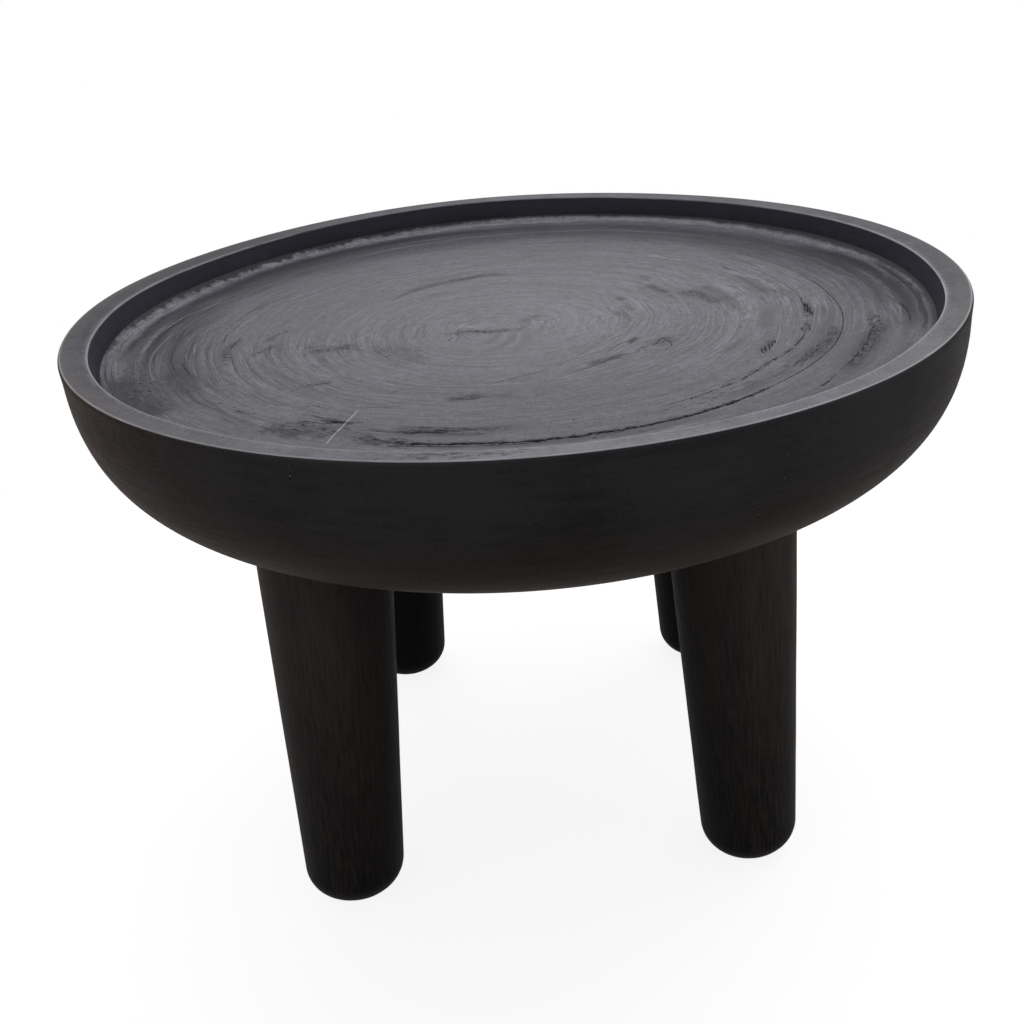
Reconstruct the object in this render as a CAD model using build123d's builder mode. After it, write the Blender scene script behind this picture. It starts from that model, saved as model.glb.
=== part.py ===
from build123d import *
import os
from math import cos, radians, sin

# Round drum table: a thick turned bowl with a shallow tray cut in its top, standing on
# four stout splayed legs.  Each leg ends in a round tenon that is glued into a blind
# mortise in the underside of the bowl and spread there by a hidden wedge.
# Millimetres and degrees.  X is to the right, -Y is the front, +Z is up, and the
# origin is on the floor, under the centre of the tray.

os.makedirs("parts", exist_ok=True)

# ---------------------------------------------------------------- driving dimensions
TABLE_HEIGHT = 466.0         # floor to the top of the rim
TOP_DIAMETER = 710.0         # outside of the bowl at the rim

# Bowl
BOWL_DEPTH = 130.5           # top of the rim to the flat bottom of the bowl
BOTTOM_DIAMETER = 450.0      # where the side curve meets the flat bottom
RIM_WIDTH = 21.5             # flat rim around the tray
RIM_OUTER_ROUND = 3.0        # eased outer edge of the rim
RIM_INNER_ROUND = 1.5        # eased inner edge of the rim
RIM_BAND = 12.0              # upright stretch of the side, below the top of the rim
SIDE_FULLNESS = 1.04         # how far the side runs down before it turns in, 1 = to the bottom
SIDE_LEAN = 7.0              # how far the side would lean out on its way down
BOTTOM_LEAD = 16.0           # how softly the side curve runs out on the bottom
TRAY_DEPTH = 23.0            # top of the rim to the tray floor
COVE_RADIUS = 18.0           # hollow between the tray's wall and its floor
LEAST_WALL = 1.0             # upright wall left between the rim's inner rounding and the cove

# Legs
FOOT_RADIUS_FROM_CENTRE = 235.5      # where a leg's axis meets the floor
SHOULDER_RADIUS_FROM_CENTRE = 211.0  # where a leg's axis meets its seat in the bowl
SHOULDER_DIAMETER = 104.0
FOOT_DIAMETER = 83.0
FOOT_ROUND = 27.0            # rounding of the foot's edge
LEVELLING_CUT = 1.5          # taken off the rounded end to make the foot stand level
# The legs are shaped and set by hand, and two of them stand off the common circles.
FRONT_LEFT_SHOULDER_OUTSET = 13.5
FRONT_LEFT_FOOT_OUTSET = 21.0
BACK_RIGHT_SHOULDER_INSET = 3.0
BACK_RIGHT_FOOT_INSET = 7.0
# Name, direction from the centre, shoulder's outset, foot's outset
LEGS = [
    ("front_left", -135.0, FRONT_LEFT_SHOULDER_OUTSET, FRONT_LEFT_FOOT_OUTSET),
    ("front_right", -45.0, 0.0, 0.0),
    ("back_right", 45.0, -BACK_RIGHT_SHOULDER_INSET, -BACK_RIGHT_FOOT_INSET),
    ("back_left", 135.0, 0.0, 0.0),
]

# Leg joint
HOUSING_DEPTH = 6.5          # how deep the shoulder is let into the bowl, at the leg's axis
TENON_DIAMETER = 50.0
TENON_LENGTH = 60.0          # shoulder to the end of the tenon
TENON_CHAMFER = 2.0
MORTISE_RELIEF = 2.0         # glue space past the end of the tenon
GLUE_GAP = 0.2               # between tenon and mortise, all round
SEAT_GAP = 0.3               # between shoulder and housing, all round
WEDGE_LENGTH = 38.0
WEDGE_HEAD = 7.0             # thickness at the thick end
WEDGE_TIP = 2.0              # thickness at the thin end
KERF_DEPTH = 46.0            # saw cut for the wedge, from the end of the tenon
KERF_STOP_DIAMETER = 6.0     # hole that keeps the cut from splitting further

# Glide under each foot: a felt disc in a plastic cup, held by one countersunk screw
GLIDE_PROUD = 2.0            # foot's wood to the floor
FELT_DIAMETER = 33.0
FELT_THICKNESS = 4.5
FELT_EDGE = 0.6
CUP_DIAMETER = 38.0
CUP_WEB = 2.2                # thickness of the cup's bottom
CUP_LIP = 1.5                # cup's edge to the floor
CUP_GAP = 0.3                # between cup and recess, and between felt and cup
SCREW_DIAMETER = 4.0
SCREW_HEAD_DIAMETER = 8.0
SCREW_LENGTH = 25.0
SCREW_POINT = 5.0            # length of the tapered point
SCREW_GAP = 0.05             # between the screw and its holes
DRIVE_DEPTH = 1.2            # cross recess in the screw's head
DRIVE_WIDTH = 0.9
DRIVE_SPAN = 4.6

# ------------------------------------------------------------------- worked-out sizes
top_radius = TOP_DIAMETER / 2
bottom_radius = BOTTOM_DIAMETER / 2
tray_radius = top_radius - RIM_WIDTH
tray_floor_z = TABLE_HEIGHT - TRAY_DEPTH
bowl_bottom_z = TABLE_HEIGHT - BOWL_DEPTH
seat_z = bowl_bottom_z + HOUSING_DEPTH
cove = min(COVE_RADIUS, TRAY_DEPTH - RIM_INNER_ROUND - LEAST_WALL)
tenon_radius = TENON_DIAMETER / 2
web_top_z = FELT_THICKNESS + CUP_WEB
screw_radius = SCREW_DIAMETER / 2
head_radius = SCREW_HEAD_DIAMETER / 2
head_height = head_radius - screw_radius


def leg_frame(direction, shoulder_outset, foot_outset):
    """A plane with its origin where the leg's axis meets the floor and Y along the axis.

    X points away from the table's centre.  Also gives the length from there to the seat.
    """
    outward = Vector(cos(radians(direction)), sin(radians(direction)), 0)
    foot = outward * (FOOT_RADIUS_FROM_CENTRE + foot_outset)
    seat = outward * (SHOULDER_RADIUS_FROM_CENTRE + shoulder_outset) + Vector(0, 0, seat_z)
    along = (seat - foot).normalized()
    sideways = Vector(outward.Y, -outward.X, 0)
    return Plane(origin=foot, x_dir=along.cross(sideways), z_dir=sideways), (seat - foot).length


def across(leg_plane, distance):
    """A plane square to the leg's axis, at a distance from the floor along the axis."""
    origin = leg_plane.origin + leg_plane.y_dir * distance
    return Plane(origin=origin, x_dir=leg_plane.x_dir, z_dir=leg_plane.y_dir)


def foot_centre(leg_plane):
    return (leg_plane.origin.X, leg_plane.origin.Y)


def wedge_section(end):
    """The wedge's tapered outline, with its thick end bearing on the mortise's bottom."""
    head = end + MORTISE_RELIEF
    with BuildLine() as outline:
        Polyline(
            (-WEDGE_HEAD / 2, head),
            (WEDGE_HEAD / 2, head),
            (WEDGE_TIP / 2, head - WEDGE_LENGTH),
            (-WEDGE_TIP / 2, head - WEDGE_LENGTH),
            close=True,
        )
    return outline.line


def make_tray_top(legs):
    """The bowl: one turned block, with a housing and a blind mortise for each leg."""
    with BuildPart() as top:
        with BuildSketch(Plane.XZ):
            with BuildLine():
                base = Line((0, bowl_bottom_z), (bottom_radius, bowl_bottom_z))
                band_bottom_z = TABLE_HEIGHT - RIM_BAND
                side_handle = SIDE_FULLNESS * (BOWL_DEPTH - RIM_BAND)
                side = Bezier(
                    base @ 1,
                    (bottom_radius + BOTTOM_LEAD, bowl_bottom_z),
                    (top_radius + SIDE_LEAN, band_bottom_z - side_handle),
                    (top_radius, band_bottom_z),
                )
                rim_and_tray = FilletPolyline(
                    side @ 1,
                    (top_radius, TABLE_HEIGHT),
                    (tray_radius, TABLE_HEIGHT),
                    (tray_radius, tray_floor_z),
                    (0, tray_floor_z),
                    radius=(RIM_OUTER_ROUND, RIM_INNER_ROUND, cove),
                )
                Line(rim_and_tray @ 1, base @ 0)
            make_face()
        revolve(axis=Axis.Z)
        for leg_plane, reach in legs:
            with BuildSketch(across(leg_plane, reach)):
                Circle(SHOULDER_DIAMETER / 2 + SEAT_GAP)
            extrude(amount=-3 * HOUSING_DEPTH, mode=Mode.SUBTRACT)
            with BuildSketch(across(leg_plane, reach)):
                Circle(tenon_radius + GLUE_GAP)
            extrude(amount=TENON_LENGTH + MORTISE_RELIEF, mode=Mode.SUBTRACT)
    return top


def make_leg(leg_plane, reach):
    """A tapered round leg with a flat shoulder, a slotted tenon and a recess for the glide."""
    end = reach + TENON_LENGTH
    with BuildPart() as leg:
        with BuildSketch(leg_plane) as section:
            start = GLIDE_PROUD - LEVELLING_CUT
            with BuildLine():
                Polyline(
                    (0, start),
                    (FOOT_DIAMETER / 2, start),
                    (SHOULDER_DIAMETER / 2, reach),
                    (tenon_radius, reach),
                    (tenon_radius, end),
                    (0, end),
                    close=True,
                )
            make_face()
            foot_corner = section.vertices().group_by(Axis.Y)[0].sort_by(Axis.X)[-1]
            fillet(foot_corner, FOOT_ROUND)
            tenon_corner = section.vertices().group_by(Axis.Y)[-1].sort_by(Axis.X)[-1]
            chamfer(tenon_corner, TENON_CHAMFER)
        revolve(axis=Axis(leg_plane.origin, leg_plane.y_dir))
        split(bisect_by=Plane.XY.offset(GLIDE_PROUD), keep=Keep.TOP)
        with BuildSketch(leg_plane):
            with BuildLine():
                add(wedge_section(end))
            make_face()
            kerf_end = end - KERF_DEPTH
            with Locations((0, (kerf_end + end) / 2)):
                Rectangle(WEDGE_TIP, KERF_DEPTH)
            with Locations((0, kerf_end)):
                Circle(KERF_STOP_DIAMETER / 2)
        extrude(amount=TENON_DIAMETER, both=True, mode=Mode.SUBTRACT)
        with BuildSketch(Plane.XY.offset(GLIDE_PROUD)):
            with Locations(foot_centre(leg_plane)):
                Circle(CUP_DIAMETER / 2 + CUP_GAP)
        extrude(amount=web_top_z - GLIDE_PROUD, mode=Mode.SUBTRACT)
        with BuildSketch(Plane.XY.offset(web_top_z)):
            with Locations(foot_centre(leg_plane)):
                Circle(screw_radius + SCREW_GAP)
        extrude(amount=SCREW_LENGTH - head_height, mode=Mode.SUBTRACT)
    return leg


def make_tenon_wedge(leg_plane, reach):
    """The hardwood wedge that spreads a tenon as the leg is driven home."""
    end = reach + TENON_LENGTH
    with BuildPart() as wedge:
        with BuildSketch(leg_plane):
            with BuildLine():
                add(wedge_section(end))
            make_face()
        extrude(amount=TENON_DIAMETER, both=True)
        with BuildSketch(across(leg_plane, reach)):
            Circle(tenon_radius)
        extrude(amount=TENON_LENGTH + MORTISE_RELIEF, mode=Mode.INTERSECT)
    return wedge


def make_glide_cup(centre):
    """The plastic cup: a disc with a pocket for the felt and a countersunk hole."""
    with BuildPart() as cup:
        with BuildSketch(Plane.XY.offset(CUP_LIP)):
            with Locations(centre):
                Circle(CUP_DIAMETER / 2)
        extrude(amount=web_top_z - CUP_LIP)
        with BuildSketch(Plane.XY.offset(CUP_LIP)):
            with Locations(centre):
                Circle(FELT_DIAMETER / 2 + CUP_GAP)
        extrude(amount=FELT_THICKNESS - CUP_LIP, mode=Mode.SUBTRACT)
        with Locations(Plane(origin=(*centre, FELT_THICKNESS), z_dir=(0, 0, -1))):
            CounterSinkHole(screw_radius + SCREW_GAP, head_radius + SCREW_GAP, CUP_WEB, 90)
    return cup


def make_glide_felt(centre):
    """The felt disc that stands on the floor."""
    with BuildPart() as felt:
        with BuildSketch(Plane.XY):
            with Locations(centre):
                Circle(FELT_DIAMETER / 2)
        extrude(amount=FELT_THICKNESS)
        chamfer(felt.edges().group_by(Axis.Z)[0], FELT_EDGE)
    return felt


def make_glide_screw(centre):
    """A countersunk wood screw, head down, with a cross recess."""
    with BuildPart() as screw:
        with BuildSketch(Plane(origin=(*centre, FELT_THICKNESS), x_dir=(1, 0, 0), z_dir=(0, -1, 0))):
            with BuildLine():
                Polyline(
                    (0, 0),
                    (head_radius, 0),
                    (screw_radius, head_height),
                    (screw_radius, SCREW_LENGTH - SCREW_POINT),
                    (0, SCREW_LENGTH),
                    close=True,
                )
            make_face()
        revolve(axis=Axis((*centre, 0), (0, 0, 1)))
        with BuildSketch(Plane.XY.offset(FELT_THICKNESS)):
            with Locations(centre):
                Rectangle(DRIVE_SPAN, DRIVE_WIDTH)
                Rectangle(DRIVE_WIDTH, DRIVE_SPAN)
        extrude(amount=DRIVE_DEPTH, mode=Mode.SUBTRACT)
    return screw


def save(piece, name):
    piece.part.label = name
    export_step(piece.part, f"parts/{name}.step")


# --------------------------------------------------------------------------- assembly
frames = {name: leg_frame(*placing) for name, *placing in LEGS}

save(make_tray_top(frames.values()), "tray_top")
for name, (leg_plane, reach) in frames.items():
    centre = foot_centre(leg_plane)
    save(make_leg(leg_plane, reach), f"leg_{name}")
    save(make_tenon_wedge(leg_plane, reach), f"tenon_wedge_{name}")
    save(make_glide_cup(centre), f"glide_cup_{name}")
    save(make_glide_felt(centre), f"glide_felt_{name}")
    save(make_glide_screw(centre), f"glide_screw_{name}")
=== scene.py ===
from math import cos, pi, radians, sin

import bmesh
import bpy
import numpy as np
from mathutils import Euler, Matrix, Vector
from mathutils.geometry import delaunay_2d_cdt


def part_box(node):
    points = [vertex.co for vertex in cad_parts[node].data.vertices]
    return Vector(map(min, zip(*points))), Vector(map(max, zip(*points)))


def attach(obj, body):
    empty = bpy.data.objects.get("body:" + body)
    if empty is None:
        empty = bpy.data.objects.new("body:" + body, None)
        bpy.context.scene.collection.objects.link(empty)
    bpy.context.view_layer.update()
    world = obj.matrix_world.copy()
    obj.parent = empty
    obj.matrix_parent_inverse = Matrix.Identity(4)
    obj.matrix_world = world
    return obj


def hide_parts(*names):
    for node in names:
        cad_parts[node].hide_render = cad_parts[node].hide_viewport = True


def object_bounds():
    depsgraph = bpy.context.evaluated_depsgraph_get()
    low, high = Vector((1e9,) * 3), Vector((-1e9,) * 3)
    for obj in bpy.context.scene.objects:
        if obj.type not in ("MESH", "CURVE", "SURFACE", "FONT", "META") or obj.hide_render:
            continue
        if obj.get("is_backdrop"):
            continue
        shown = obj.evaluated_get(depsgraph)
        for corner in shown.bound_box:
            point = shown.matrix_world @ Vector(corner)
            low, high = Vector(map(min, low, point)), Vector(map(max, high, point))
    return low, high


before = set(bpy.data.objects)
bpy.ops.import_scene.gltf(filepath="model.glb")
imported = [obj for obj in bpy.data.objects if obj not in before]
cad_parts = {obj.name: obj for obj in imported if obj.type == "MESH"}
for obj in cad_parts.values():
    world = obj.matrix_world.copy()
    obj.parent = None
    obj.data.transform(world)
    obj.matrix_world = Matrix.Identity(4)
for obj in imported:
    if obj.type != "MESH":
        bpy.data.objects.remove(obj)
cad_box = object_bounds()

# Round drum table in black-stained wood: a bowl with a shallow tray in its top, on four
# stout legs.  Metres and degrees, +Z up, the front is -Y, the floor is z = 0.

# ------------------------------------------------------------------------------ sizes
MM = 0.001
bowl_low, bowl_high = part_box("tray_top")
TOP_Z = bowl_high.z
BOTTOM_Z = bowl_low.z
TOP_RADIUS = 355 * MM
BOTTOM_RADIUS = 225 * MM
RIM_WIDTH = 21.5 * MM
RIM_OUTER_ROUND = 3 * MM
RIM_INNER_ROUND = 1.5 * MM
RIM_BAND = 12 * MM
SIDE_FULLNESS = 1.04
SIDE_LEAN = 7 * MM
BOTTOM_LEAD = 16 * MM
TRAY_DEPTH = 23 * MM
COVE_RADIUS = 18 * MM
TRAY_RADIUS = TOP_RADIUS - RIM_WIDTH
RIM_INNER_RADIUS = TRAY_RADIUS + RIM_INNER_ROUND
RIM_OUTER_RADIUS = TOP_RADIUS - RIM_OUTER_ROUND
FLOOR_RADIUS = TRAY_RADIUS - COVE_RADIUS
FLOOR_Z = TOP_Z - TRAY_DEPTH
# Below this level, or beyond this radius, a point is on the bowl's outside
OUTSIDE_Z = FLOOR_Z - 6 * MM
OUTSIDE_RADIUS = TOP_RADIUS - 0.4 * RIM_OUTER_ROUND

HOUSING_DEPTH = 6.5 * MM
SEAT_Z = BOTTOM_Z + HOUSING_DEPTH
SEAT_GAP = 0.3 * MM
SHOULDER_RADIUS = 52 * MM
FOOT_RADIUS = 41.5 * MM
FOOT_ROUND = 27 * MM
FOOT_Z = 2 * MM
LEVELLING_CUT = 1.5 * MM
TENON_RADIUS = 25 * MM
TENON_LENGTH = 60 * MM
TENON_CHAMFER = 2 * MM
MORTISE_RELIEF = 2 * MM
GLUE_GAP = 0.2 * MM
WEDGE_LENGTH = 38 * MM
WEDGE_HEAD = 7 * MM
WEDGE_TIP = 2 * MM
KERF_DEPTH = 46 * MM
KERF_STOP_RADIUS = 3 * MM
RECESS_RADIUS = 19.3 * MM
RECESS_TOP_Z = 6.7 * MM
PILOT_RADIUS = 2.05 * MM
PILOT_TOP_Z = 29.7 * MM
# Name, direction from the centre, distance of the leg's axis from the centre at its seat
LEGS = [
    ("front_left", -135, 224.5 * MM),
    ("front_right", -45, 211 * MM),
    ("back_right", 45, 208 * MM),
    ("back_left", 135, 211 * MM),
]

# The growth rings are round a pith that lies off the tray's centre.  They grow more
# even outwards: at RING_REACH from the pith they would be round the tray's centre.
PITH = np.array((-22, -47)) * MM
RING_REACH = 330 * MM
# Within about this ring, noise isn't drawn out along the rings
PITH_REACH = 60 * MM

# Half widths of the wear and painted highlight along the rim's inner and outer edges
INNER_EDGE_WEAR_AND_HIGHLIGHT = 1.1 * MM
OUTER_EDGE_WEAR_AND_HIGHLIGHT = 0.75 * MM
# Colour of the rubbed stain, from where it lies thick to where it is thin; the tray and rim are paler than
# the side partly as painted sheen from the light above
TRAY_TONES = [
    (0.0, (0.013, 0.0125, 0.0195, 1)),
    (0.3, (0.056, 0.0535, 0.069, 1)),
    (0.5, (0.100, 0.097, 0.115, 1)),
    (0.75, (0.170, 0.166, 0.190, 1)),
    (1.0, (0.26, 0.255, 0.285, 1)),
]
# The thick stain of the tray's wall, low down and at the top; darker low down as painted shade in the hollow
WALL_LOW = (0.018, 0.0185, 0.0255, 1)
WALL_HIGH = (0.066, 0.067, 0.084, 1)
# How much of a stroke the grain breaks up: of a narrow, of a turned and of a wide one
BROKEN_SHARES = (1.0, 0.3, 0.0)
BROAD = 10 * MM
# The floor looks white: its own glow, and how far out it becomes all glow
FLOOR_GLOW = 0.87
FLOOR_BOUNCE = 0.35
FLOOR_FADE = (0.45, 1.1)


# ------------------------------------------------------------------------------ noise
def smooth_noise(points, cell, seed):
    """Smooth random values between -1 and 1, which change over about one cell."""
    size = 32
    table = np.random.default_rng(seed).uniform(-1, 1, (size, size, size))
    scaled = np.asarray(points) / cell
    corner = np.floor(scaled).astype(int)
    near = scaled - corner
    near = near * near * (3 - 2 * near)
    total = np.zeros(len(scaled))
    for step in np.ndindex(2, 2, 2):
        weight = np.prod(np.where(step, near, 1 - near), axis=1)
        index = (corner + step) % size
        total += weight * table[index[:, 0], index[:, 1], index[:, 2]]
    return total


def layered_noise(points, cell, seed, layers=3):
    """Smooth noise with finer and fainter layers on top, between about -1 and 1."""
    total = sum(smooth_noise(points, cell / 2**n, seed + n) / 2**n for n in range(layers))
    return total / (2 - 2 ** (1 - layers))


def flat_noise(points, cell, seed, layers=3):
    return layered_noise(np.column_stack((points, np.zeros(len(points)))), cell, seed, layers)


def above_zero(noise_values):
    """Noise brought from between -1 and 1 to between 0 and 1."""
    return 0.5 + 0.5 * noise_values


def unit(values):
    """The values, held between 0 and 1."""
    return np.clip(values, 0, 1)


def off_axis(points):
    """How far each point is from the table's axis."""
    return np.hypot(points[:, 0], points[:, 1])


def pushed(points, shares):
    """The points with their distance from the axis changed, each by its share of it."""
    moved = points.copy()
    moved[:, :2] *= (1 + shares)[:, None]
    return moved


# ------------------------------------------------------------------------- ring frame
def from_rings(angle, ring):
    """The place on the tray of a point given by its direction, in degrees, and its ring."""
    angle = np.radians(np.asarray(angle, float))
    ring = np.asarray(ring, float)[..., None]
    return PITH * (1 - ring / RING_REACH) + ring * np.stack((np.cos(angle), np.sin(angle)), -1)


def ring_of(places):
    """The radius of the growth ring that passes through each place."""
    offset = places - PITH
    drift = PITH / RING_REACH
    along = offset @ drift
    shrink = 1 - drift @ drift
    return (along + np.sqrt(along**2 + shrink * (offset**2).sum(1))) / shrink


def around(stations, angle):
    """A value that changes smoothly round the table, through stations of (direction, value)."""
    at, value = np.array(stations, float).T
    at = np.append(at, at[0] + 360)
    value = np.append(value, value[0])
    turned = (angle - at[0]) % 360 + at[0]
    low = np.clip(np.searchsorted(at, turned, "right") - 1, 0, len(at) - 2)
    t = (turned - at[low]) / (at[low + 1] - at[low])
    t = t * t * (3 - 2 * t)
    return value[low] * (1 - t) + value[low + 1] * t


def direction_of(points):
    return np.degrees(np.arctan2(points[:, 1], points[:, 0]))


def in_order(stations):
    """The directions and the values of stations of (direction, value), sorted by direction."""
    return np.array(sorted(stations), float).T


# ------------------------------------------------------------- lines cut and rubbed in
GROOVE_STEP = 2.2 * MM
PALE_HAIR_SHARE = 0.45
# Steps along a crack and along a stroke of stain, in degrees, and how much a cut wanders
CRACK_STEP = 0.7
STROKE_STEP = 1.5
CRACK_WOBBLE = 0.25 * MM
FIBRE_WOBBLE = 0.1 * MM
FIBRE_DEPTH = 0.5 * MM
FIBRE_LEAN = 4.0
PALE_HAIR_DEPTH = 0.05 * MM
# The start, middle and end of a short cut, as shares of its half length
ENDS = np.array((-1, 0, 1))


def near_to(line, places, reach):
    """The places in a box round a line, how far each is from it and how many points along it."""
    near = np.flatnonzero(((places > line.min(0) - reach) & (places < line.max(0) + reach)).all(1))
    best = np.full(len(near), np.inf)
    along = np.zeros(len(near))
    for count, (a, b) in enumerate(zip(line, line[1:])):
        offset = places[near] - a
        t = unit(offset @ (b - a) / ((b - a) @ (b - a)))
        away = np.linalg.norm(offset - t[:, None] * (b - a), axis=1)
        closer = away < best
        best[closer] = away[closer]
        along[closer] = (count + t)[closer]
    return near, best, along


class Groove:
    """A V-shaped cut along a line: its centre points, and half width and depth at each."""

    def __init__(self, centre, half_width, depth):
        self.centre = centre
        self.half_width = half_width
        self.depth = depth

    def outlines(self):
        """The centre line and the two edges, as lines for the mesh to follow."""
        ahead = np.gradient(self.centre, axis=0)
        ahead /= np.linalg.norm(ahead, axis=1)[:, None]
        sideways = np.column_stack((-ahead[:, 1], ahead[:, 0])) * self.half_width[:, None]
        return [self.centre, self.centre + sideways, self.centre - sideways]

    def share(self, places, wider=0.0):
        """How far into the cut each place is, 1 on its centre line and 0 outside, and its depth."""
        share = np.zeros(len(places))
        depth = np.zeros(len(places))
        near, away, along = near_to(self.centre, places, self.half_width.max() + wider + MM)
        stations = np.arange(len(self.centre))
        wide = np.interp(along, stations, self.half_width) + wider
        share[near] = unit(1 - away / np.maximum(wide, 0.01 * MM))
        depth[near] = share[near] * np.interp(along, stations, self.depth)
        return share, depth


def stroke(places, line, width, strength):
    """A soft line of stain, darker below 0, or of rubbing, paler above 0, that fades at its ends; some
    strokes are painted shade or painted highlight instead.
    """
    tone = np.zeros(len(places))
    near, away, along = near_to(line, places, 2.5 * width)
    t = along / (len(line) - 1)
    tone[near] = strength * np.exp(-((away / width) ** 2)) * unit(6 * t * (1 - t))
    return tone


def cut_along(places, width, depth, seed, wobble=0.0, raggedness=0.35):
    """A groove through the given places, with tapered ends and an uneven width."""
    places = np.asarray(places, float)
    travelled = np.concatenate(([0], np.cumsum(np.linalg.norm(np.diff(places, axis=0), axis=1))))
    count = max(int(travelled[-1] / GROOVE_STEP), 3) + 1
    at = np.linspace(0, travelled[-1], count)
    centre = np.column_stack([np.interp(at, travelled, places[:, k]) for k in range(2)])
    rng = np.random.default_rng(seed)
    centre += wobble * rng.uniform(-1, 1, centre.shape)
    taper = np.minimum(1, 4 * np.sin(np.linspace(0.03, pi - 0.03, count)))
    uneven = 1 + raggedness * rng.uniform(-1, 1, count)
    return Groove(centre, width / 2 * taper * uneven, depth * taper * uneven)


def next_seed(rng):
    return rng.integers(1 << 30)


def broken_crack(stations, width, depth, seed, piece, gap, stray):
    """A crack along a ring that comes and goes, in pieces and gaps given in degrees."""
    rng = np.random.default_rng(seed)
    angles, rings = in_order(stations)
    grooves = []
    at = angles[0]
    while at < angles[-1]:
        end = min(at + rng.uniform(*piece), angles[-1])
        steps = np.linspace(at, end, max(int((end - at) / 0.5), 4))
        ring = np.interp(steps, angles, rings) * MM + rng.uniform(-stray * MM, stray * MM)
        size = rng.uniform(0.6, 1.1)
        sizes = (width * MM * size, depth * MM * size)
        grooves.append(cut_along(from_rings(steps, ring), *sizes, next_seed(rng), CRACK_WOBBLE))
        at = end + rng.uniform(*gap)
    return grooves


def torn_fibres(centre, spread, count, seed, length, width):
    """Many short cuts along the rings, round a centre of (direction, ring in millimetres)."""
    rng = np.random.default_rng(seed)
    grooves = []
    for _ in range(count):
        angle = centre[0] + spread[0] * np.clip(rng.normal() / 2, -1, 1)
        ring = (centre[1] + spread[1] * np.clip(rng.normal() / 2, -1, 1)) * MM
        half = np.degrees(rng.uniform(*length) * MM / ring / 2)
        drift = rng.uniform(-1, 1) * FIBRE_LEAN * half * 0.02 * MM
        line = from_rings(angle + half * ENDS, ring + drift * ENDS)
        size = rng.uniform(0.5, 1.1)
        grooves.append(cut_along(line, width * MM * size, FIBRE_DEPTH * size, next_seed(rng), FIBRE_WOBBLE))
    return grooves


def ticks_across(stations, count, length, width, depth, seed, outward):
    """Short cuts across a ring crack, scattered along it, or some millimetres outside it."""
    rng = np.random.default_rng(seed)
    angles, rings = in_order(stations)
    grooves = []
    for _ in range(count):
        angle = rng.uniform(angles[0], angles[-1])
        ring = np.interp(angle, angles, rings) + outward * rng.uniform(0.1, 1.6) + rng.uniform(-1, 1)
        half = rng.uniform(0.25, 1) * (length * MM) / 2
        turn = rng.uniform(-0.6, 0.6)
        line = from_rings(angle + turn * ENDS, half * ENDS + ring * MM)
        grooves.append(cut_along(line, width * MM, depth * MM, next_seed(rng), FIBRE_WOBBLE))
    return grooves


# Lines in the tray, as (direction from the pith, ring in millimetres)
OUTER_CRACK = [
    (-108, 265), (-103, 267), (-95, 266), (-89, 268), (-64, 268), (-53, 265), (-28, 264), (-16, 262),
    (-5, 260), (0, 258), (16, 257), (45, 256),
]
OUTER_CRACK_FRONT = [(-108, 265), (-103, 267), (-95, 266), (-89, 268), (-64, 268), (-50, 265)]
INNER_CRACK = [(-66, 242), (-59, 241), (-48, 238.5), (-40, 235), (-32, 237), (-22, 237)]
THIRD_CRACK = [(-46, 292), (-39, 288), (-33, 286), (-24, 284), (-19, 284), (-13, 288)]
SCRATCH = np.array(((-110, -201), (-124, -258))) * MM
SCRATCH_HAIR = [(-120, 207), (-116, 201), (-111, 194)]
# The same, round the tray's own centre, in the foot of its hollow
COVE_CRACK = [(-8, 313.6), (4, 314), (15, 313.4)]

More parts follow.
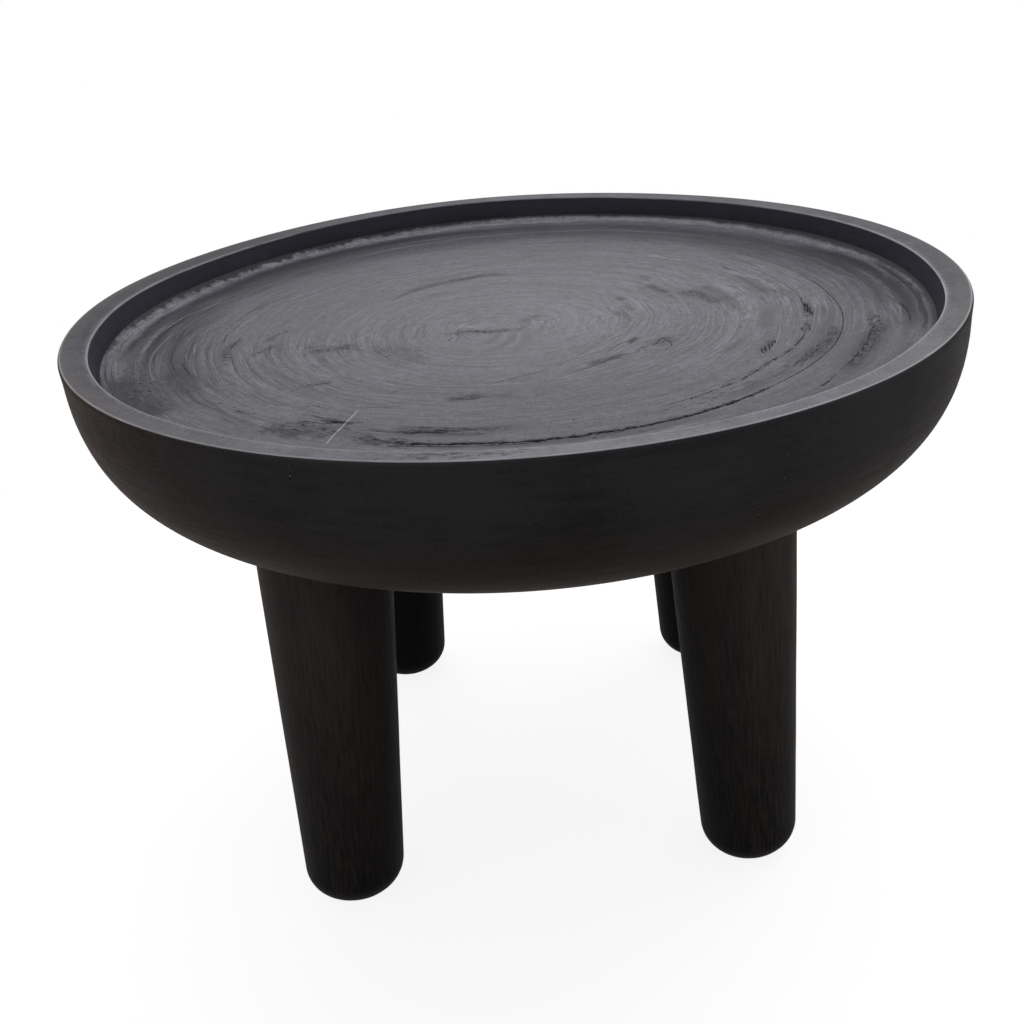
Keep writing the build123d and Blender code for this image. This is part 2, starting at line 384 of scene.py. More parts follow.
# Small cuts: the width, then the places on the tray that they run through, in millimetres
DARK_HAIRS = [
    (1.5, (229, -10), (228, -18), (227, -27)), (2.0, (228, -27), (227, -36), (225, -45)),
    (2.2, (229.5, -31), (228, -42), (226, -52)), (2.0, (231, -37), (229, -47), (227, -57)),
    (1.4, (231, -48), (229, -56), (228, -62)), (1.3, (175, -131), (175, -137), (176, -143)),
    (1.5, (179, -126), (178, -133), (178, -140)), (1.5, (183, -120), (182, -128), (181, -135)),
    (1.5, (186, -116), (185, -122), (184, -128)), (1.5, (188, -114), (188, -118), (188, -122)),
    (1.2, (-234, -63), (-230, -61.5), (-224, -62)), (1.2, (-232, -71), (-228, -69.5), (-222, -70)),
    (0.8, (-231, -77), (-227, -76), (-222, -76)), (0.8, (-229, -88), (-225, -86), (-220, -90)),
    (0.8, (-227, -26), (-229, -40), (-230, -54)), (0.9, (63, -116), (74, -100), (86, -88)),
    (1.4, (101, -101), (107, -92), (109, -95)), (1.0, (104, -104), (110, -98), (113, -104)),
    (0.9, (109, -98), (112, -110), (105, -122)), (1.0, (87, -113), (95, -108), (101, -105)),
    (1.0, (79, -104), (84, -95), (87, -88)), (1.2, (54, -140), (65, -133), (74, -129)),
    (0.8, (60, -133), (68, -128), (78, -122)), (0.8, (-168, -60), (-157, -56), (-146, -60)),
    (0.8, (-140, -66), (-130, -69), (-120, -76)), (0.9, (-196, -186), (-188, -193), (-178, -196)),
    (0.9, (-160, -228), (-149, -230), (-139, -236)), (1.0, (-141, -206), (-130, -214), (-119, -216)),
    (1.2, (-146, -215), (-134, -221), (-123, -224)), (1.0, (-130, -222), (-118, -223), (-103, -226)),
    (0.6, (227, -31), (228, -1), (223, 32), (215, 61), (203, 91), (185, 117)),
    (0.7, (155, 37), (174, 35), (183, 32)), (0.45, (25, -137), (40, -122), (57, -98)),
    (0.7, (-24, -169), (-9, -161), (8, -152), (20, -144)), (0.6, (-94, -175), (-86, -169), (-76, -167)),
    (0.6, (-193, -156), (-175, -177), (-162, -185)), (0.7, (188, -149), (199, -135), (202, -139)),
    (1.0, (303, -47), (302, -66)), (0.6, (303, 47), (307, -7)),
    (0.7, (-295, -32), (-295, 18), (-284, 61)), (0.6, (-261, -95), (-272, -62), (-277, -23), (-274, 4)),
    (0.6, (-252, -112), (-249, -102), (-262, -75)),
    (0.8, (-51, -60), (-51, -66), (-56, -67), (-57, -60), (-52, -59)),
    (0.7, (-29, -190), (-29, -195), (-33, -195), (-34, -190), (-30, -189)),
    (0.6, (-62, -48), (-48, -43), (-38, -42)), (0.8, (-40, -43), (-30, -48), (-18, -47)),
    (0.8, (297, -14), (301, -38), (302, -67), (297, -92)), (0.5, (303, -20), (304, -42), (304, -60)),
]
PALE_HAIRS = [
    (0.9, (150, -19), (147, -51), (139, -86), (125, -112), (110, -120)),
    (0.7, (154, -24), (151, -54), (143, -90), (130, -114)),
    (0.9, (160, -30), (158, -59), (146, -100), (127, -132)),
    (0.9, (171, -32), (169, -62), (160, -94), (149, -121)), (0.7, (183, -51), (181, -69), (176, -89)),
    (0.8, (199, -81), (192, -109), (184, -132), (175, -143)),
    (1.5, (24, -168), (43, -155), (57, -144), (72, -134)), (1.1, (30, -171), (46, -160), (60, -150)),
    (1.0, (79, -122), (90, -114), (101, -113)), (0.8, (64, -115), (74, -101), (81, -88)),
    (0.9, (-160, -50), (-141, -53), (-129, -43), (-118, -26)),
    (1.0, (-300, -48), (-300, 0), (-290, 46), (-277, 75), (-258, 101)),
    (0.9, (-256, -57), (-262, -21), (-259, 20), (-247, 50)),
    (0.8, (-273, -113), (-286, -70), (-290, -28), (-285, 16)),
    (0.7, (-235, -40), (-238, -10), (-230, 30)), (1.2, (-112, 55), (-99, 74), (-83, 85)),
    (1.0, (-40, -28), (-30, -24), (-20, -36)), (0.8, (-12, -52), (-15, -72), (-24, -84)),
    (0.8, (-2, -54), (-5, -78), (-14, -92)),
]
PITS = [
    (-285, -139), (-210, -171), (-198, -181), (-146, -189), (-139, -190), (-163, -155), (-125, 93),
    (-91, -74), (-103, -93), (33, -271), (34, -245), (46, -278), (-275, -150), (-268, -136),
]

# Stain and rubbing: the soft half width, how much darker (below 0) or paler (above 0) it
# is, then the places that it runs through, in millimetres
RUBBED_MARKS = [
    (4.5, -0.42, (-113, 62), (-91, 92), (-69, 107), (-46, 117), (-29, 122), (-6, 115)),
    (3, -0.2, (-80, 100), (-50, 116), (-24, 121)), (3, -0.12, (-136, 221), (-73, 228), (-12, 224)),
    (3.5, -0.34, (-62, -50), (-41, -44), (-24, -49), (-9, -47), (8, -46)),
    (2.5, -0.3, (-42, -43), (-30, -47), (-18, -47)), (5, -0.26, (-2, -32), (6, -20), (18, -12)),
    (2, -0.2, (-6, -50), (-8, -72), (-17, -88), (-28, -96)),
    (2, -0.18, (-18, -52), (-22, -66), (-32, -80)), (2.5, -0.14, (2, -52), (2, -80), (-8, -104)),
    (3, 0.24, (-64, -25), (-46, -30), (-30, -33)), (2, 0.4, (-56, -63), (-53, -63)),
    (15, -0.16, (-118, -70), (-93, -84), (-72, -114)),
    (4.5, -0.26, (-228, -28), (-231, -50), (-228, -84)),
    (4, -0.26, (190, -112), (182, -124), (174, -142)), (3, -0.3, (230, -20), (229, -40), (228, -62)),
    (2.5, -0.26, (-190, -6), (-198, -21), (-206, -40)), (3, -0.28, (-210, -72), (-201, -58), (-192, -42)),
    (5, -0.34, (-168, -70), (-147, -66), (-128, -60)),
    (2.5, -0.3, (-280, -100), (-291, -66), (-295, -32), (-295, 18), (-284, 61)),
    (3, -0.3, (-252, -112), (-261, -95), (-272, -62), (-277, -23), (-274, 4), (-262, 40)),
    (2.5, -0.22, (-232, -131), (-249, -102), (-262, -75), (-267, -40)),
    (5, -0.25, (-296, 80), (-280, 110), (-255, 140)),
    (3.5, -0.4, (-312, -69), (-312, -20), (-309, 44), (-297, 84)),
    (15, -0.3, (-302, -95), (-287, -135), (-262, -170), (-240, -185)),
    (14, -0.16, (-262, -90), (-250, -125), (-225, -150)), (3.5, -0.4, (80, 24), (85, 13)),
    (4, -0.26, (87, 2), (92, -16)), (3.5, -0.42, (105, 87), (110, 71)),
    (5, -0.42, (108, 58), (116, 42), (125, 26)), (4, -0.34, (131, 31), (143, 10)),
    (6, -0.42, (140, 34), (151, 16), (160, -14)), (5, -0.24, (150, 46), (164, 22), (172, -6)),
    (4.5, -0.28, (168, 8), (174, -32)), (7, -0.24, (188, 72), (198, 38), (206, 2)),
    (2.2, -0.4, (99, -108), (107, -97), (115, -91)), (2, -0.34, (104, -112), (112, -102), (119, -97)),
    (2.5, -0.4, (80, -100), (88, -85)), (4, -0.34, (46, -142), (61, -133), (80, -122)),
    (3, -0.2, (30, -160), (50, -146), (66, -138)), (4, -0.34, (-52, -195), (-38, -192), (-26, -189)),
    (4, -0.2, (-20, -193), (-6, -193)), (3, 0.16, (108, 180), (128, 148), (153, 120)),
    (5, -0.2, (166, -102), (156, -122), (146, -138)), (3, -0.16, (128, -86), (110, -90), (90, -104)),
]
# The same along the growth rings, as (direction from the pith, ring in millimetres)
GROWTH_STROKES = [
    (5, -0.26, (-42, 294), (-33, 291), (-24, 290), (-15, 293)),
    (5, -0.16, (-40, 284), (-30, 281), (-20, 279)), (8, -0.3, (-40, 253), (-30, 256), (-18, 256)),
    (5, -0.2, (-58, 256), (-48, 255), (-38, 254)), (5, -0.16, (-24, 250), (-14, 252), (-4, 250)),
    (5, -0.16, (-20, 205), (-12, 203), (-4, 206)), (12, -0.16, (-128, 250), (-118, 252), (-108, 250)),
    (6, -0.26, (-110, 247), (-103, 246), (-92, 246)), (6, -0.18, (-108, 268), (-85, 272), (-60, 271)),
    (7, -0.14, (-110, 238), (-97, 240), (-85, 238)), (4, 0.14, (-10, 222), (10, 222), (30, 218)),
    (4, 0.14, (-20, 190), (0, 192), (24, 186)),
]
# Where small dark pits and torn fibres lie: soft half width, how thickly, and places
PITTED_MARKS = [
    (15, 1.2, (-302, -92), (-287, -135), (-262, -172), (-238, -192)),
    (18, 0.7, (-266, -80), (-255, -118), (-226, -152)), (5, 0.6, (-314, -80), (-313, -20), (-306, 44)),
    (8, 0.35, (-296, 60), (-270, 120), (-220, 190)), (12, 1.15, (-176, -216), (-148, -236), (-118, -244)),
    (5, 1.1, (-140, -208), (-120, -222), (-106, -225)), (10, 1.2, (-108, -244), (-88, -262), (-66, -266)),
    (6, 1.0, (-84, -240), (-55, -247), (-24, -252), (4, -250)),
    (7.5, 1.0, (238, -84), (232, -112), (218, -138), (200, -162)),
    (9, 0.6, (176, -182), (150, -208), (126, -222)),
    (4, 1.15, (281, -59), (272, -77), (263, -105), (251, -134), (236, -163), (220, -188)),
    (4.5, 0.8, (287, -70), (271, -108), (257, -140), (240, -168)),
    (3.5, 0.8, (204, -124), (180, -158), (154, -188), (118, -218)),
    (18, 0.55, (-126, -64), (-93, -84), (-64, -118)),
    (5, 0.75, (-120, 50), (-91, 92), (-69, 107), (-46, 117), (-29, 122), (0, 114)),
    (6, 0.85, (-172, -70), (-147, -66), (-124, -58)), (4, 0.7, (-190, -2), (-198, -21), (-208, -44)),
    (5, 0.75, (-212, -76), (-201, -58), (-190, -38)), (6, 1.0, (-162, -154), (-148, -145), (-134, -143)),
    (8, 0.6, (-236, -46), (-228, -66), (-226, -88)), (5, 0.8, (-230, -50), (-226, -18)),
    (6, 0.6, (104, 92), (116, 42), (128, 22)), (8, 0.65, (131, 36), (151, 16), (164, -20)),
    (8, 0.5, (188, 76), (198, 38), (208, -4)), (6, 0.75, (189, -108), (181, -126), (172, -144)),
    (5, 0.8, (96, -112), (107, -97), (120, -90)), (5, 0.7, (-56, -196), (-38, -192), (0, -192)),
    (5, 0.6, (-98, -40), (-62, -50), (-24, -49), (12, -44)), (5, 0.7, (312, -48), (316, 0), (306, 80)),
    (7, 0.85, (-88, -334), (-60, -342), (-20, -344), (20, -343)),
]
# The same along the growth rings
PITTED_RINGS = [
    (5, 0.9, (-112, 266), (-100, 266), (-84, 267)), (3, 1.1, (-98, 266), (-70, 268), (-44, 265)),
    (5, 0.55, (-96, 276), (-80, 277), (-62, 276)), (4, 0.9, (0, 235), (-6, 235), (-14, 235)),
    (5, 0.9, (-13, 236), (-18, 236), (-24, 237)), (7, 0.6, (-66, 250), (-50, 250), (-34, 249)),
]
# How much paler or darker the rim is, round the table: painted sheen, palest at the front, and painted shade
# at the left and back
RIM_SHEEN_TONES = [
    (-180, -0.50), (-150, -0.26), (-110, 0.1), (-90, 0.31), (-45, 0.18), (0, -0.2), (60, -0.16), (90, -0.06),
    (120, -0.34), (150, -0.76),
]
# Stain and rubbing round the tray's own centre, as (direction, distance in millimetres), with painted light
# among them: the pale strokes from about 316 to 322 millimetres are a painted highlight in the hollow, the
# wide dark ones from about 292 to 313 millimetres painted shade before it, and the dark one at 353.5
# millimetres painted shade under the rim's outer edge
TURNED_STAIN_AND_LIGHT = [
    (22, -0.36, (-10, 280), (25, 272), (45, 266), (90, 271), (120, 275), (150, 282), (180, 284)),
    (16, -0.08, (15, 248), (90, 250), (165, 246)), (9, -0.26, (10, 306), (20, 304), (32, 302)),
    (7, -0.12, (140, 306), (158, 303), (180, 302), (204, 303)),
    (13, -0.33, (-24, 306), (0, 303), (20, 299), (45, 292), (90, 299), (120, 300), (150, 301), (184, 304)),
    (8, -0.2, (95, 303), (125, 305), (158, 304)), (8, -0.4, (-22, 313), (0, 312), (24, 309)),
    (5, 0.12, (-40, 321), (-22, 321), (4, 321)),
    (5, 0.3, (-14, 322), (10, 321), (30, 318), (60, 321), (90, 321), (110, 321)),
    (5, 0.26, (40, 321), (60, 322), (90, 322), (120, 321), (146, 318)),
    (7, 0.27, (100, 321), (120, 320), (148, 316), (170, 318), (184, 320)),
    (8, 0.12, (160, 318), (178, 320), (202, 322)),
    (2.0, 0.26, (45, 281), (75, 279.5), (105, 279.5), (140, 275)),
    (1.6, 0.14, (60, 291), (90, 291.5), (125, 290)), (34, -0.22, (160, 284), (190, 284), (222, 282)),
    (2.5, -0.28, (-14, 290), (4, 292), (30, 291)), (2.0, -0.22, (-6, 281), (14, 282), (34, 280)),
    (2.0, 0.2, (-24, 302), (0, 303), (20, 302)), (12, 0.12, (-130, 300), (-112, 302), (-96, 302)),
    (38, 0.07, (-150, 250), (-90, 258), (-30, 250)), (1.6, 0.24, (-115, 284.5), (-90, 285), (-60, 288)),
    (2.2, 0.3, (195, 302), (180, 302), (170, 300)), (3, -0.2, (162, 291), (180, 294), (196, 293)),
    (1.8, -0.7, (12, 353.5), (95, 354), (175, 353.5)),
    (1.3, -1.3, (-23, 322.5), (-12, 321), (0, 320.5), (16, 320.5)),
]
# A painted sheen makes the middle of the tray paler, most of all here, and this far around it
SHEEN_MIDDLE = np.array((25, -20)) * MM
SHEEN_REACH = 175 * MM
SHEEN_SHARE = 0.29


def ring_line(stations, step=STROKE_STEP, past=1):
    """A line along the growth rings through stations of (direction, ring in millimetres)."""
    angles, rings = in_order(stations)
    steps = np.arange(angles[0], angles[-1] + past, step)
    return from_rings(steps, np.interp(steps, angles, rings) * MM)


def turned_line(stations):
    """The same, round the tray's own centre."""
    angles, radii = in_order(stations)
    steps = np.arange(angles[0], angles[-1] + 1, STROKE_STEP)
    turns = np.radians(steps)
    return (np.interp(steps, angles, radii) * MM)[:, None] * np.column_stack((np.cos(turns), np.sin(turns)))


def through(places):
    """A smooth line through places on the tray, given in millimetres."""
    at = np.array(places, float) * MM
    at = np.vstack((2 * at[0] - at[1], at, 2 * at[-1] - at[-2]))
    t = np.linspace(0, 1, 6, endpoint=False)[:, None]
    line = []
    for a, b, c, d in zip(at, at[1:], at[2:], at[3:]):
        bend = (a - 2.5 * b + 2 * c - d / 2) * t**2
        line.append(b + (c - a) * t / 2 + bend + (3 * (b - c) + d - a) * t**3 / 2)
    return np.vstack(line + [at[-2:-1]])


def wandering(places):
    """The places moved a little, so that what is painted there gets uneven edges."""
    wander = [flat_noise(places, 12 * MM, seed, 3) for seed in (95, 96)]
    return places + 1.6 * MM * np.column_stack(wander)


def all_strokes():
    """Every stroke: its line, soft half width, strength, and how much of it the grain breaks up."""
    narrow, turned, wide = BROKEN_SHARES
    kinds = (
        (RUBBED_MARKS, through, narrow),
        (GROWTH_STROKES, ring_line, narrow),
        (TURNED_STAIN_AND_LIGHT, turned_line, turned),
    )
    for marks, line_of, share in kinds:
        for width, strength, *line in marks:
            yield line_of(line), width * MM, strength, wide if width * MM > BROAD else share


def stain_and_painted_light(places):
    """How much paler (above 0) or darker the stain is, with the painted sheen, highlight and shade: what the
    grain breaks up, and what is smooth.
    """
    moved = wandering(places)
    broken = np.zeros(len(places))
    # Painted sheen and shade round the rim
    smooth = np.where(off_axis(moved) > TRAY_RADIUS - 4 * MM, around(RIM_SHEEN_TONES, direction_of(moved)), 0.0)
    # The painted sheen in the middle of the tray
    from_middle = np.linalg.norm(places - SHEEN_MIDDLE, axis=1)
    smooth += SHEEN_SHARE * np.exp(-((from_middle / SHEEN_REACH) ** 2))
    for line, width, strength, share in all_strokes():
        tone = stroke(moved, line, width, strength)
        broken += share * tone
        smooth += (1 - share) * tone
    return broken, smooth


def pitted(places):
    """How thickly small dark pits and torn fibres lie."""
    moved = wandering(places)
    share = np.zeros(len(places))
    for marks, line_of in ((PITTED_MARKS, through), (PITTED_RINGS, ring_line)):
        for width, strength, *line in marks:
            share = np.maximum(share, stroke(moved, line_of(line), width * MM, strength))
    return share


# A small round of cracks at the right: its (direction, ring in millimetres)
CRACKED_LOOP = [(-16.5, 233), (-17.5, 238), (-20.5, 239.5), (-21, 235), (-19, 232.5)]
# Each with its stations, width, depth, seed, pieces and gaps in degrees, and how far it strays,
# in millimetres
BROKEN_CRACKS = [
    (INNER_CRACK, 0.9, 1.0, 31, (4, 11), (0.4, 1.2), 1.2),
    (THIRD_CRACK, 0.9, 0.8, 13, (1.0, 3.0), (0.1, 0.8), 0.9),
    ([(-112, 269), (-85, 270)], 0.8, 0.6, 34, (4, 11), (0.8, 3.0), 1.2),
    ([(-86, 266), (-56, 264)], 0.8, 0.6, 36, (2, 5), (1, 4), 1.2),
    ([(-108, 235), (-93, 237)], 0.7, 0.6, 35, (4, 11), (0.5, 2), 1.2),
]
# Each with the crack's stations, how many, length, width, depth, seed, and how far outside
CRACK_TICKS = [
    (OUTER_CRACK_FRONT, 90, 4.5, 0.7, 0.6, 41, 0),
    (INNER_CRACK, 34, 4, 0.8, 0.6, 43, 0),
    (THIRD_CRACK[1:], 46, 6, 0.8, 0.5, 44, 3.2),
]
# Each with its middle (direction, ring), its spread of both, how many, seed, length and width
TORN_PLACES = [
    ((-120, 252), (8, 12), 56, 51, (2, 8), 0.9), ((-119, 238), (3, 3), 18, 50, (3, 9), 1.0),
    ((-103, 244), (8, 5), 50, 52, (3, 14), 0.9), ((-107, 262), (5, 5), 30, 53, (2, 7), 0.9),
    ((-34, 256), (9, 5), 34, 54, (3, 9), 0.7), ((-26, 287.5), (10, 3.5), 30, 55, (2, 7), 0.7),
    ((-40, 134), (7, 6), 14, 56, (4, 10), 0.5), ((-98, 174), (5, 4), 12, 57, (4, 10), 0.5),
    ((-157, 300), (9, 12), 70, 59, (1.5, 4), 0.7), ((-138, 190), (5, 7), 14, 60, (2, 6), 0.6),
    ((-60, 252), (16, 12), 30, 61, (2, 8), 0.5), ((-90, 268), (22, 4), 34, 62, (2, 8), 0.5),
]


def tray_grooves():
    """Every crack, tear and pit in the tray's floor."""
    grooves = [
        cut_along(ring_line(OUTER_CRACK, CRACK_STEP, 0), 0.8 * MM, 1.0 * MM, 11, CRACK_WOBBLE, 0.45),
        cut_along(ring_line(OUTER_CRACK_FRONT, CRACK_STEP, 0), 1.7 * MM, 1.8 * MM, 12, 0.7 * MM, 0.8),
        cut_along(ring_line(SCRATCH_HAIR, CRACK_STEP, 0), 0.7 * MM, 0.5 * MM, 26, CRACK_WOBBLE, 0.45),
        cut_along(turned_line(COVE_CRACK), 0.9 * MM, 0.7 * MM, 27, 0.4 * MM, 0.6),
    ]
    for make, rows in ((broken_crack, BROKEN_CRACKS), (ticks_across, CRACK_TICKS)):
        for row in rows:
            grooves += make(*row)
    angles, rings = np.array(CRACKED_LOOP).T
    grooves.append(cut_along(from_rings(angles, rings * MM), 1.0 * MM, 0.8 * MM, 210, 0.2 * MM))
    for number, (width, *line) in enumerate(DARK_HAIRS):
        grooves.append(cut_along(through(line), width * MM, 0.6 * width * MM, 220 + number, 0.15 * MM))
    for number, (x, y) in enumerate(PITS):
        line = np.array(((x - 1.2, y), (x, y + 0.4), (x + 1.2, y))) * MM
        grooves.append(cut_along(line, 1.8 * MM, 0.9 * MM, 250 + number, 0.2 * MM))
    for row in TORN_PLACES:
        grooves += torn_fibres(*row)
    return [groove for groove in grooves if within_floor(groove)]


def within_floor(groove):
    """Whether the whole groove lies on the tray's floor, clear of its border."""
    return (off_axis(groove.centre) + groove.half_width).max() < FLOOR_RADIUS - 0.6 * MM


def pale_lines():
    """The deep scratch and the fine lines that are rubbed pale: each with how pale it is."""
    lines = [(cut_along(SCRATCH, 1.5 * MM, 0.25 * MM, 71, raggedness=0.2), 1.2)]
    for number, (width, *line) in enumerate(PALE_HAIRS):
        cut = cut_along(through(line), width * MM, PALE_HAIR_DEPTH, 300 + number, 0.12 * MM)
        lines.append((cut, PALE_HAIR_SHARE))
    return lines


# --------------------------------------------------------------------- mesh from rings
def arc(centre_r, centre_z, radius, start, end, steps):
    """Points of an arc in the section, from one direction to another, in degrees."""
    turns = np.radians(np.linspace(start, end, steps))
    return np.column_stack((centre_r + radius * np.cos(turns), centre_z + radius * np.sin(turns)))


def straight(start, end, steps):
    return np.linspace(start, end, steps)


def bezier(p0, p1, p2, p3, steps):
    t = np.linspace(0, 1, steps)[:, None]
    return (
        (1 - t) ** 3 * np.array(p0)
        + 3 * (1 - t) ** 2 * t * np.array(p1)
        + 3 * (1 - t) * t**2 * np.array(p2)
        + t**3 * np.array(p3)
    )


def joined(*stretches):
    """One section from stretches that meet end to end."""
    return np.vstack([stretches[0]] + [stretch[1:] for stretch in stretches[1:]])


def spun(section, segments):
    """Points of the section turned round the Z axis, one row of points for each of its points."""
    turns = np.arange(segments) * 2 * pi / segments
    r = section[:, :1]
    rows = np.stack((r * np.cos(turns), r * np.sin(turns), np.repeat(section[:, 1:], segments, 1)), -1)
    return rows.reshape(-1, 3)


def spun_faces(rows, segments, first=0):
    """Quads between neighbouring rows, facing away from the section's left side."""
    faces = []
    for row in range(rows - 1):
        low = first + row * segments
        for k in range(segments):
            nxt = (k + 1) % segments
            faces.append((low + k, low + nxt, low + segments + nxt, low + segments + k))
    return faces


def closed_spin(section, segments):
    """Points and faces of the section turned round the Z axis and closed at both its ends."""
    last = len(section) * segments
    top = last - segments
    faces = spun_faces(len(section), segments)
    for k in range(segments):
        nxt = (k + 1) % segments
        faces += [(nxt, k, last), (top + k, top + nxt, last + 1)]
    return np.vstack((spun(section, segments), ((0, 0, section[0, 1]), (0, 0, section[-1, 1])))), faces


def new_mesh(name, points, faces):
    mesh = bpy.data.meshes.new(name)
    mesh.from_pydata([tuple(p) for p in points], [], faces)
    mesh.validate()
    shade(mesh)
    return mesh


def shade(mesh, sharp=None):
    """Smooth shading, with edges sharper than the given angle, in degrees, left sharp."""
    mesh.polygons.foreach_set("use_smooth", [True] * len(mesh.polygons))
    if sharp:
        mesh.set_sharp_from_angle(angle=radians(sharp))


def new_piece(name, mesh, place=None):
    piece = bpy.data.objects.new(name, mesh)
    bpy.context.scene.collection.objects.link(piece)
    if place:
        piece.matrix_world = place
    return piece


def vectors_of(items, key):
    """One vector for each of a mesh's vertices or faces."""
    flat = np.zeros(len(items) * 3)
    items.foreach_get(key, flat)
    return flat.reshape(-1, 3)


def carried(matrix, points):
    return np.array([matrix @ Vector(p) for p in points])


def set_attribute(mesh, name, values):
    """A value, or a vector, for each point of a mesh."""
    values = np.asarray(values, np.float32)
    kind, key = ("FLOAT", "value") if values.ndim == 1 else ("FLOAT_VECTOR", "vector")
    mesh.attributes.new(name, kind, "POINT").data.foreach_set(key, values.ravel())


def cut_away(piece, cutters):
    """Cuts the cutters' shapes out of the piece and deletes them."""
    for cutter in cutters:
        cut = piece.modifiers.new("cut", "BOOLEAN")
        cut.operation = "DIFFERENCE"
        cut.solver = "MANIFOLD"
        cut.object = cutter
    graph = bpy.context.evaluated_depsgraph_get()
    mesh = bpy.data.meshes.new_from_object(piece.evaluated_get(graph))
    piece.modifiers.clear()
    mesh.materials.clear()
    mesh.polygons.foreach_set("material_index", [0] * len(mesh.polygons))
    piece.data = mesh
    for cutter in cutters:
        bpy.data.objects.remove(cutter)


def rod(name, place, low, high, radius, segments=96):
    """A cutter: a round rod along the Z of its place, from low to high."""
    points, faces = closed_spin(np.array(((radius, low), (radius, high))), segments)
    return new_piece(name, new_mesh(name, points, faces), place)


def bar(name, place, outline, half_length):
    """A cutter: an outline in the X-Z plane of its place, drawn out both ways along Y."""
    count = len(outline)
    points = [(x, y, z) for y in (-half_length, half_length) for x, z in outline]
    faces = [tuple(range(count)), tuple(range(2 * count - 1, count - 1, -1))]
    for k in range(count):
        nxt = (k + 1) % count
        faces.append((nxt, k, count + k, count + nxt))
    return new_piece(name, new_mesh(name, points, faces), place)


# ---------------------------------------------------------------------------- the legs
def leg_place(name, direction, seat_radius):
    """A leg's own frame: the origin on the floor, Z up its axis, X away from the centre."""
    low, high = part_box(f"glide_felt_{name}")
    foot = Vector(((low.x + high.x) / 2, (low.y + high.y) / 2, 0))
    outward = Vector((cos(radians(direction)), sin(radians(direction)), 0))
    seat = outward * seat_radius + Vector((0, 0, SEAT_Z))
    up = (seat - foot).normalized()
    across = up.cross(outward).normalized()
    away = across.cross(up)
    place = Matrix((away, across, up)).transposed().to_4x4()
    place.translation = foot
    return place, (seat - foot).length


LEG_SEGMENTS = 176
LEG_ROW = 3 * MM


def leg_section(reach):
    """The turned leg's section: rounded foot, straight taper, shoulder and tenon."""
    start = FOOT_Z - LEVELLING_CUT
    slant = np.arctan2(SHOULDER_RADIUS - FOOT_RADIUS, reach - start)
    centre_r = FOOT_RADIUS - FOOT_ROUND * (1 - sin(slant)) / cos(slant)
    foot = arc(centre_r, start + FOOT_ROUND, FOOT_ROUND, -90, -np.degrees(slant), 16)
    rows = int(reach / LEG_ROW)
    end = reach + TENON_LENGTH
    return joined(
        straight((0.5 * MM, start), foot[0], 5),
        foot,
        straight(foot[-1], (SHOULDER_RADIUS, reach), rows),
        straight((SHOULDER_RADIUS, reach), (TENON_RADIUS, reach), 4),
        straight((TENON_RADIUS, reach), (TENON_RADIUS, end - TENON_CHAMFER), 6),
        straight((TENON_RADIUS, end - TENON_CHAMFER), (TENON_RADIUS - TENON_CHAMFER, end), 3),
        straight((TENON_RADIUS - TENON_CHAMFER, end), (0.5 * MM, end), 3),
    )


def leg_wear(points, reach, seed):
    """How far each point of a leg lies inside its turned shape: hand-shaping and raised grain."""
    shaping = 0.9 * MM * above_zero(layered_noise(points * (1, 1, 0.5), 60 * MM, seed))
    fluting = 0.22 * MM * above_zero(layered_noise(points * (1, 1, 0.12), 7 * MM, seed + 10))
    fine = 0.08 * MM * above_zero(smooth_noise(points * (1, 1, 0.06), 2.2 * MM, seed + 20))
    below_seat = unit((reach - 8 * MM - points[:, 2]) / (20 * MM))
    return below_seat * unit((off_axis(points) - 10 * MM) / (15 * MM)) * (shaping + fluting + fine)


def tenon_cut(end):
    """The outline of the saw cut in a tenon that ends there, spread by its wedge."""
    head = end + MORTISE_RELIEF
    left = [
        (-WEDGE_HEAD / 2, head),
        (-WEDGE_TIP / 2, head - WEDGE_LENGTH),
        (-WEDGE_TIP / 2, end - KERF_DEPTH),
    ]
    return left + [(-x, z) for x, z in reversed(left)]


def make_leg(name, direction, seat_radius, seed, finish):
    """A turned leg with its tenon, kerf and foot: returns its place and how far up its shoulder is."""
    place, reach = leg_place(name, direction, seat_radius)
    points, faces = closed_spin(leg_section(reach), LEG_SEGMENTS)
    round_part = points[:-2]
    points[:-2] = pushed(round_part, -leg_wear(round_part, reach, seed) / off_axis(round_part))
    leg = new_piece(f"leg_{name}_turned", new_mesh(f"leg_{name}", carried(place, points), faces))

    end = reach + TENON_LENGTH
    stop_hole = place @ Matrix.Translation((0, 0, end - KERF_DEPTH)) @ Matrix.Rotation(pi / 2, 4, "X")
    foot = Matrix.Translation(place.translation)
    cut_away(leg, [
        bar("kerf", place, tenon_cut(end), 2 * TENON_RADIUS),
        rod("kerf_stop", stop_hole, -2 * TENON_RADIUS, 2 * TENON_RADIUS, KERF_STOP_RADIUS, 32),
        rod("level", foot, -20 * MM, FOOT_Z, 2 * FOOT_RADIUS),
        rod("recess", foot, 0, RECESS_TOP_Z, RECESS_RADIUS),
        rod("pilot", foot, 0, PILOT_TOP_Z, PILOT_RADIUS, 24),
    ])
    shade(leg.data, 35)
    grain = carried(place.inverted(), vectors_of(leg.data.vertices, "co"))
    set_attribute(leg.data, "outness", grain[:, 0] / np.maximum(off_axis(grain), MM))
    set_attribute(leg.data, "grain", grain + (seed * 0.37, 0, seed * 0.11))
    leg.data.materials.append(finish)
    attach(leg, "root")
    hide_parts(f"leg_{name}")
    return place, reach


# ---------------------------------------------------------------------------- the bowl
BOWL_SEGMENTS = 400
FLOOR_GRID = 3.1 * MM
RIM_GRID = 3.4 * MM
CLEAN_COVE = 6 * MM

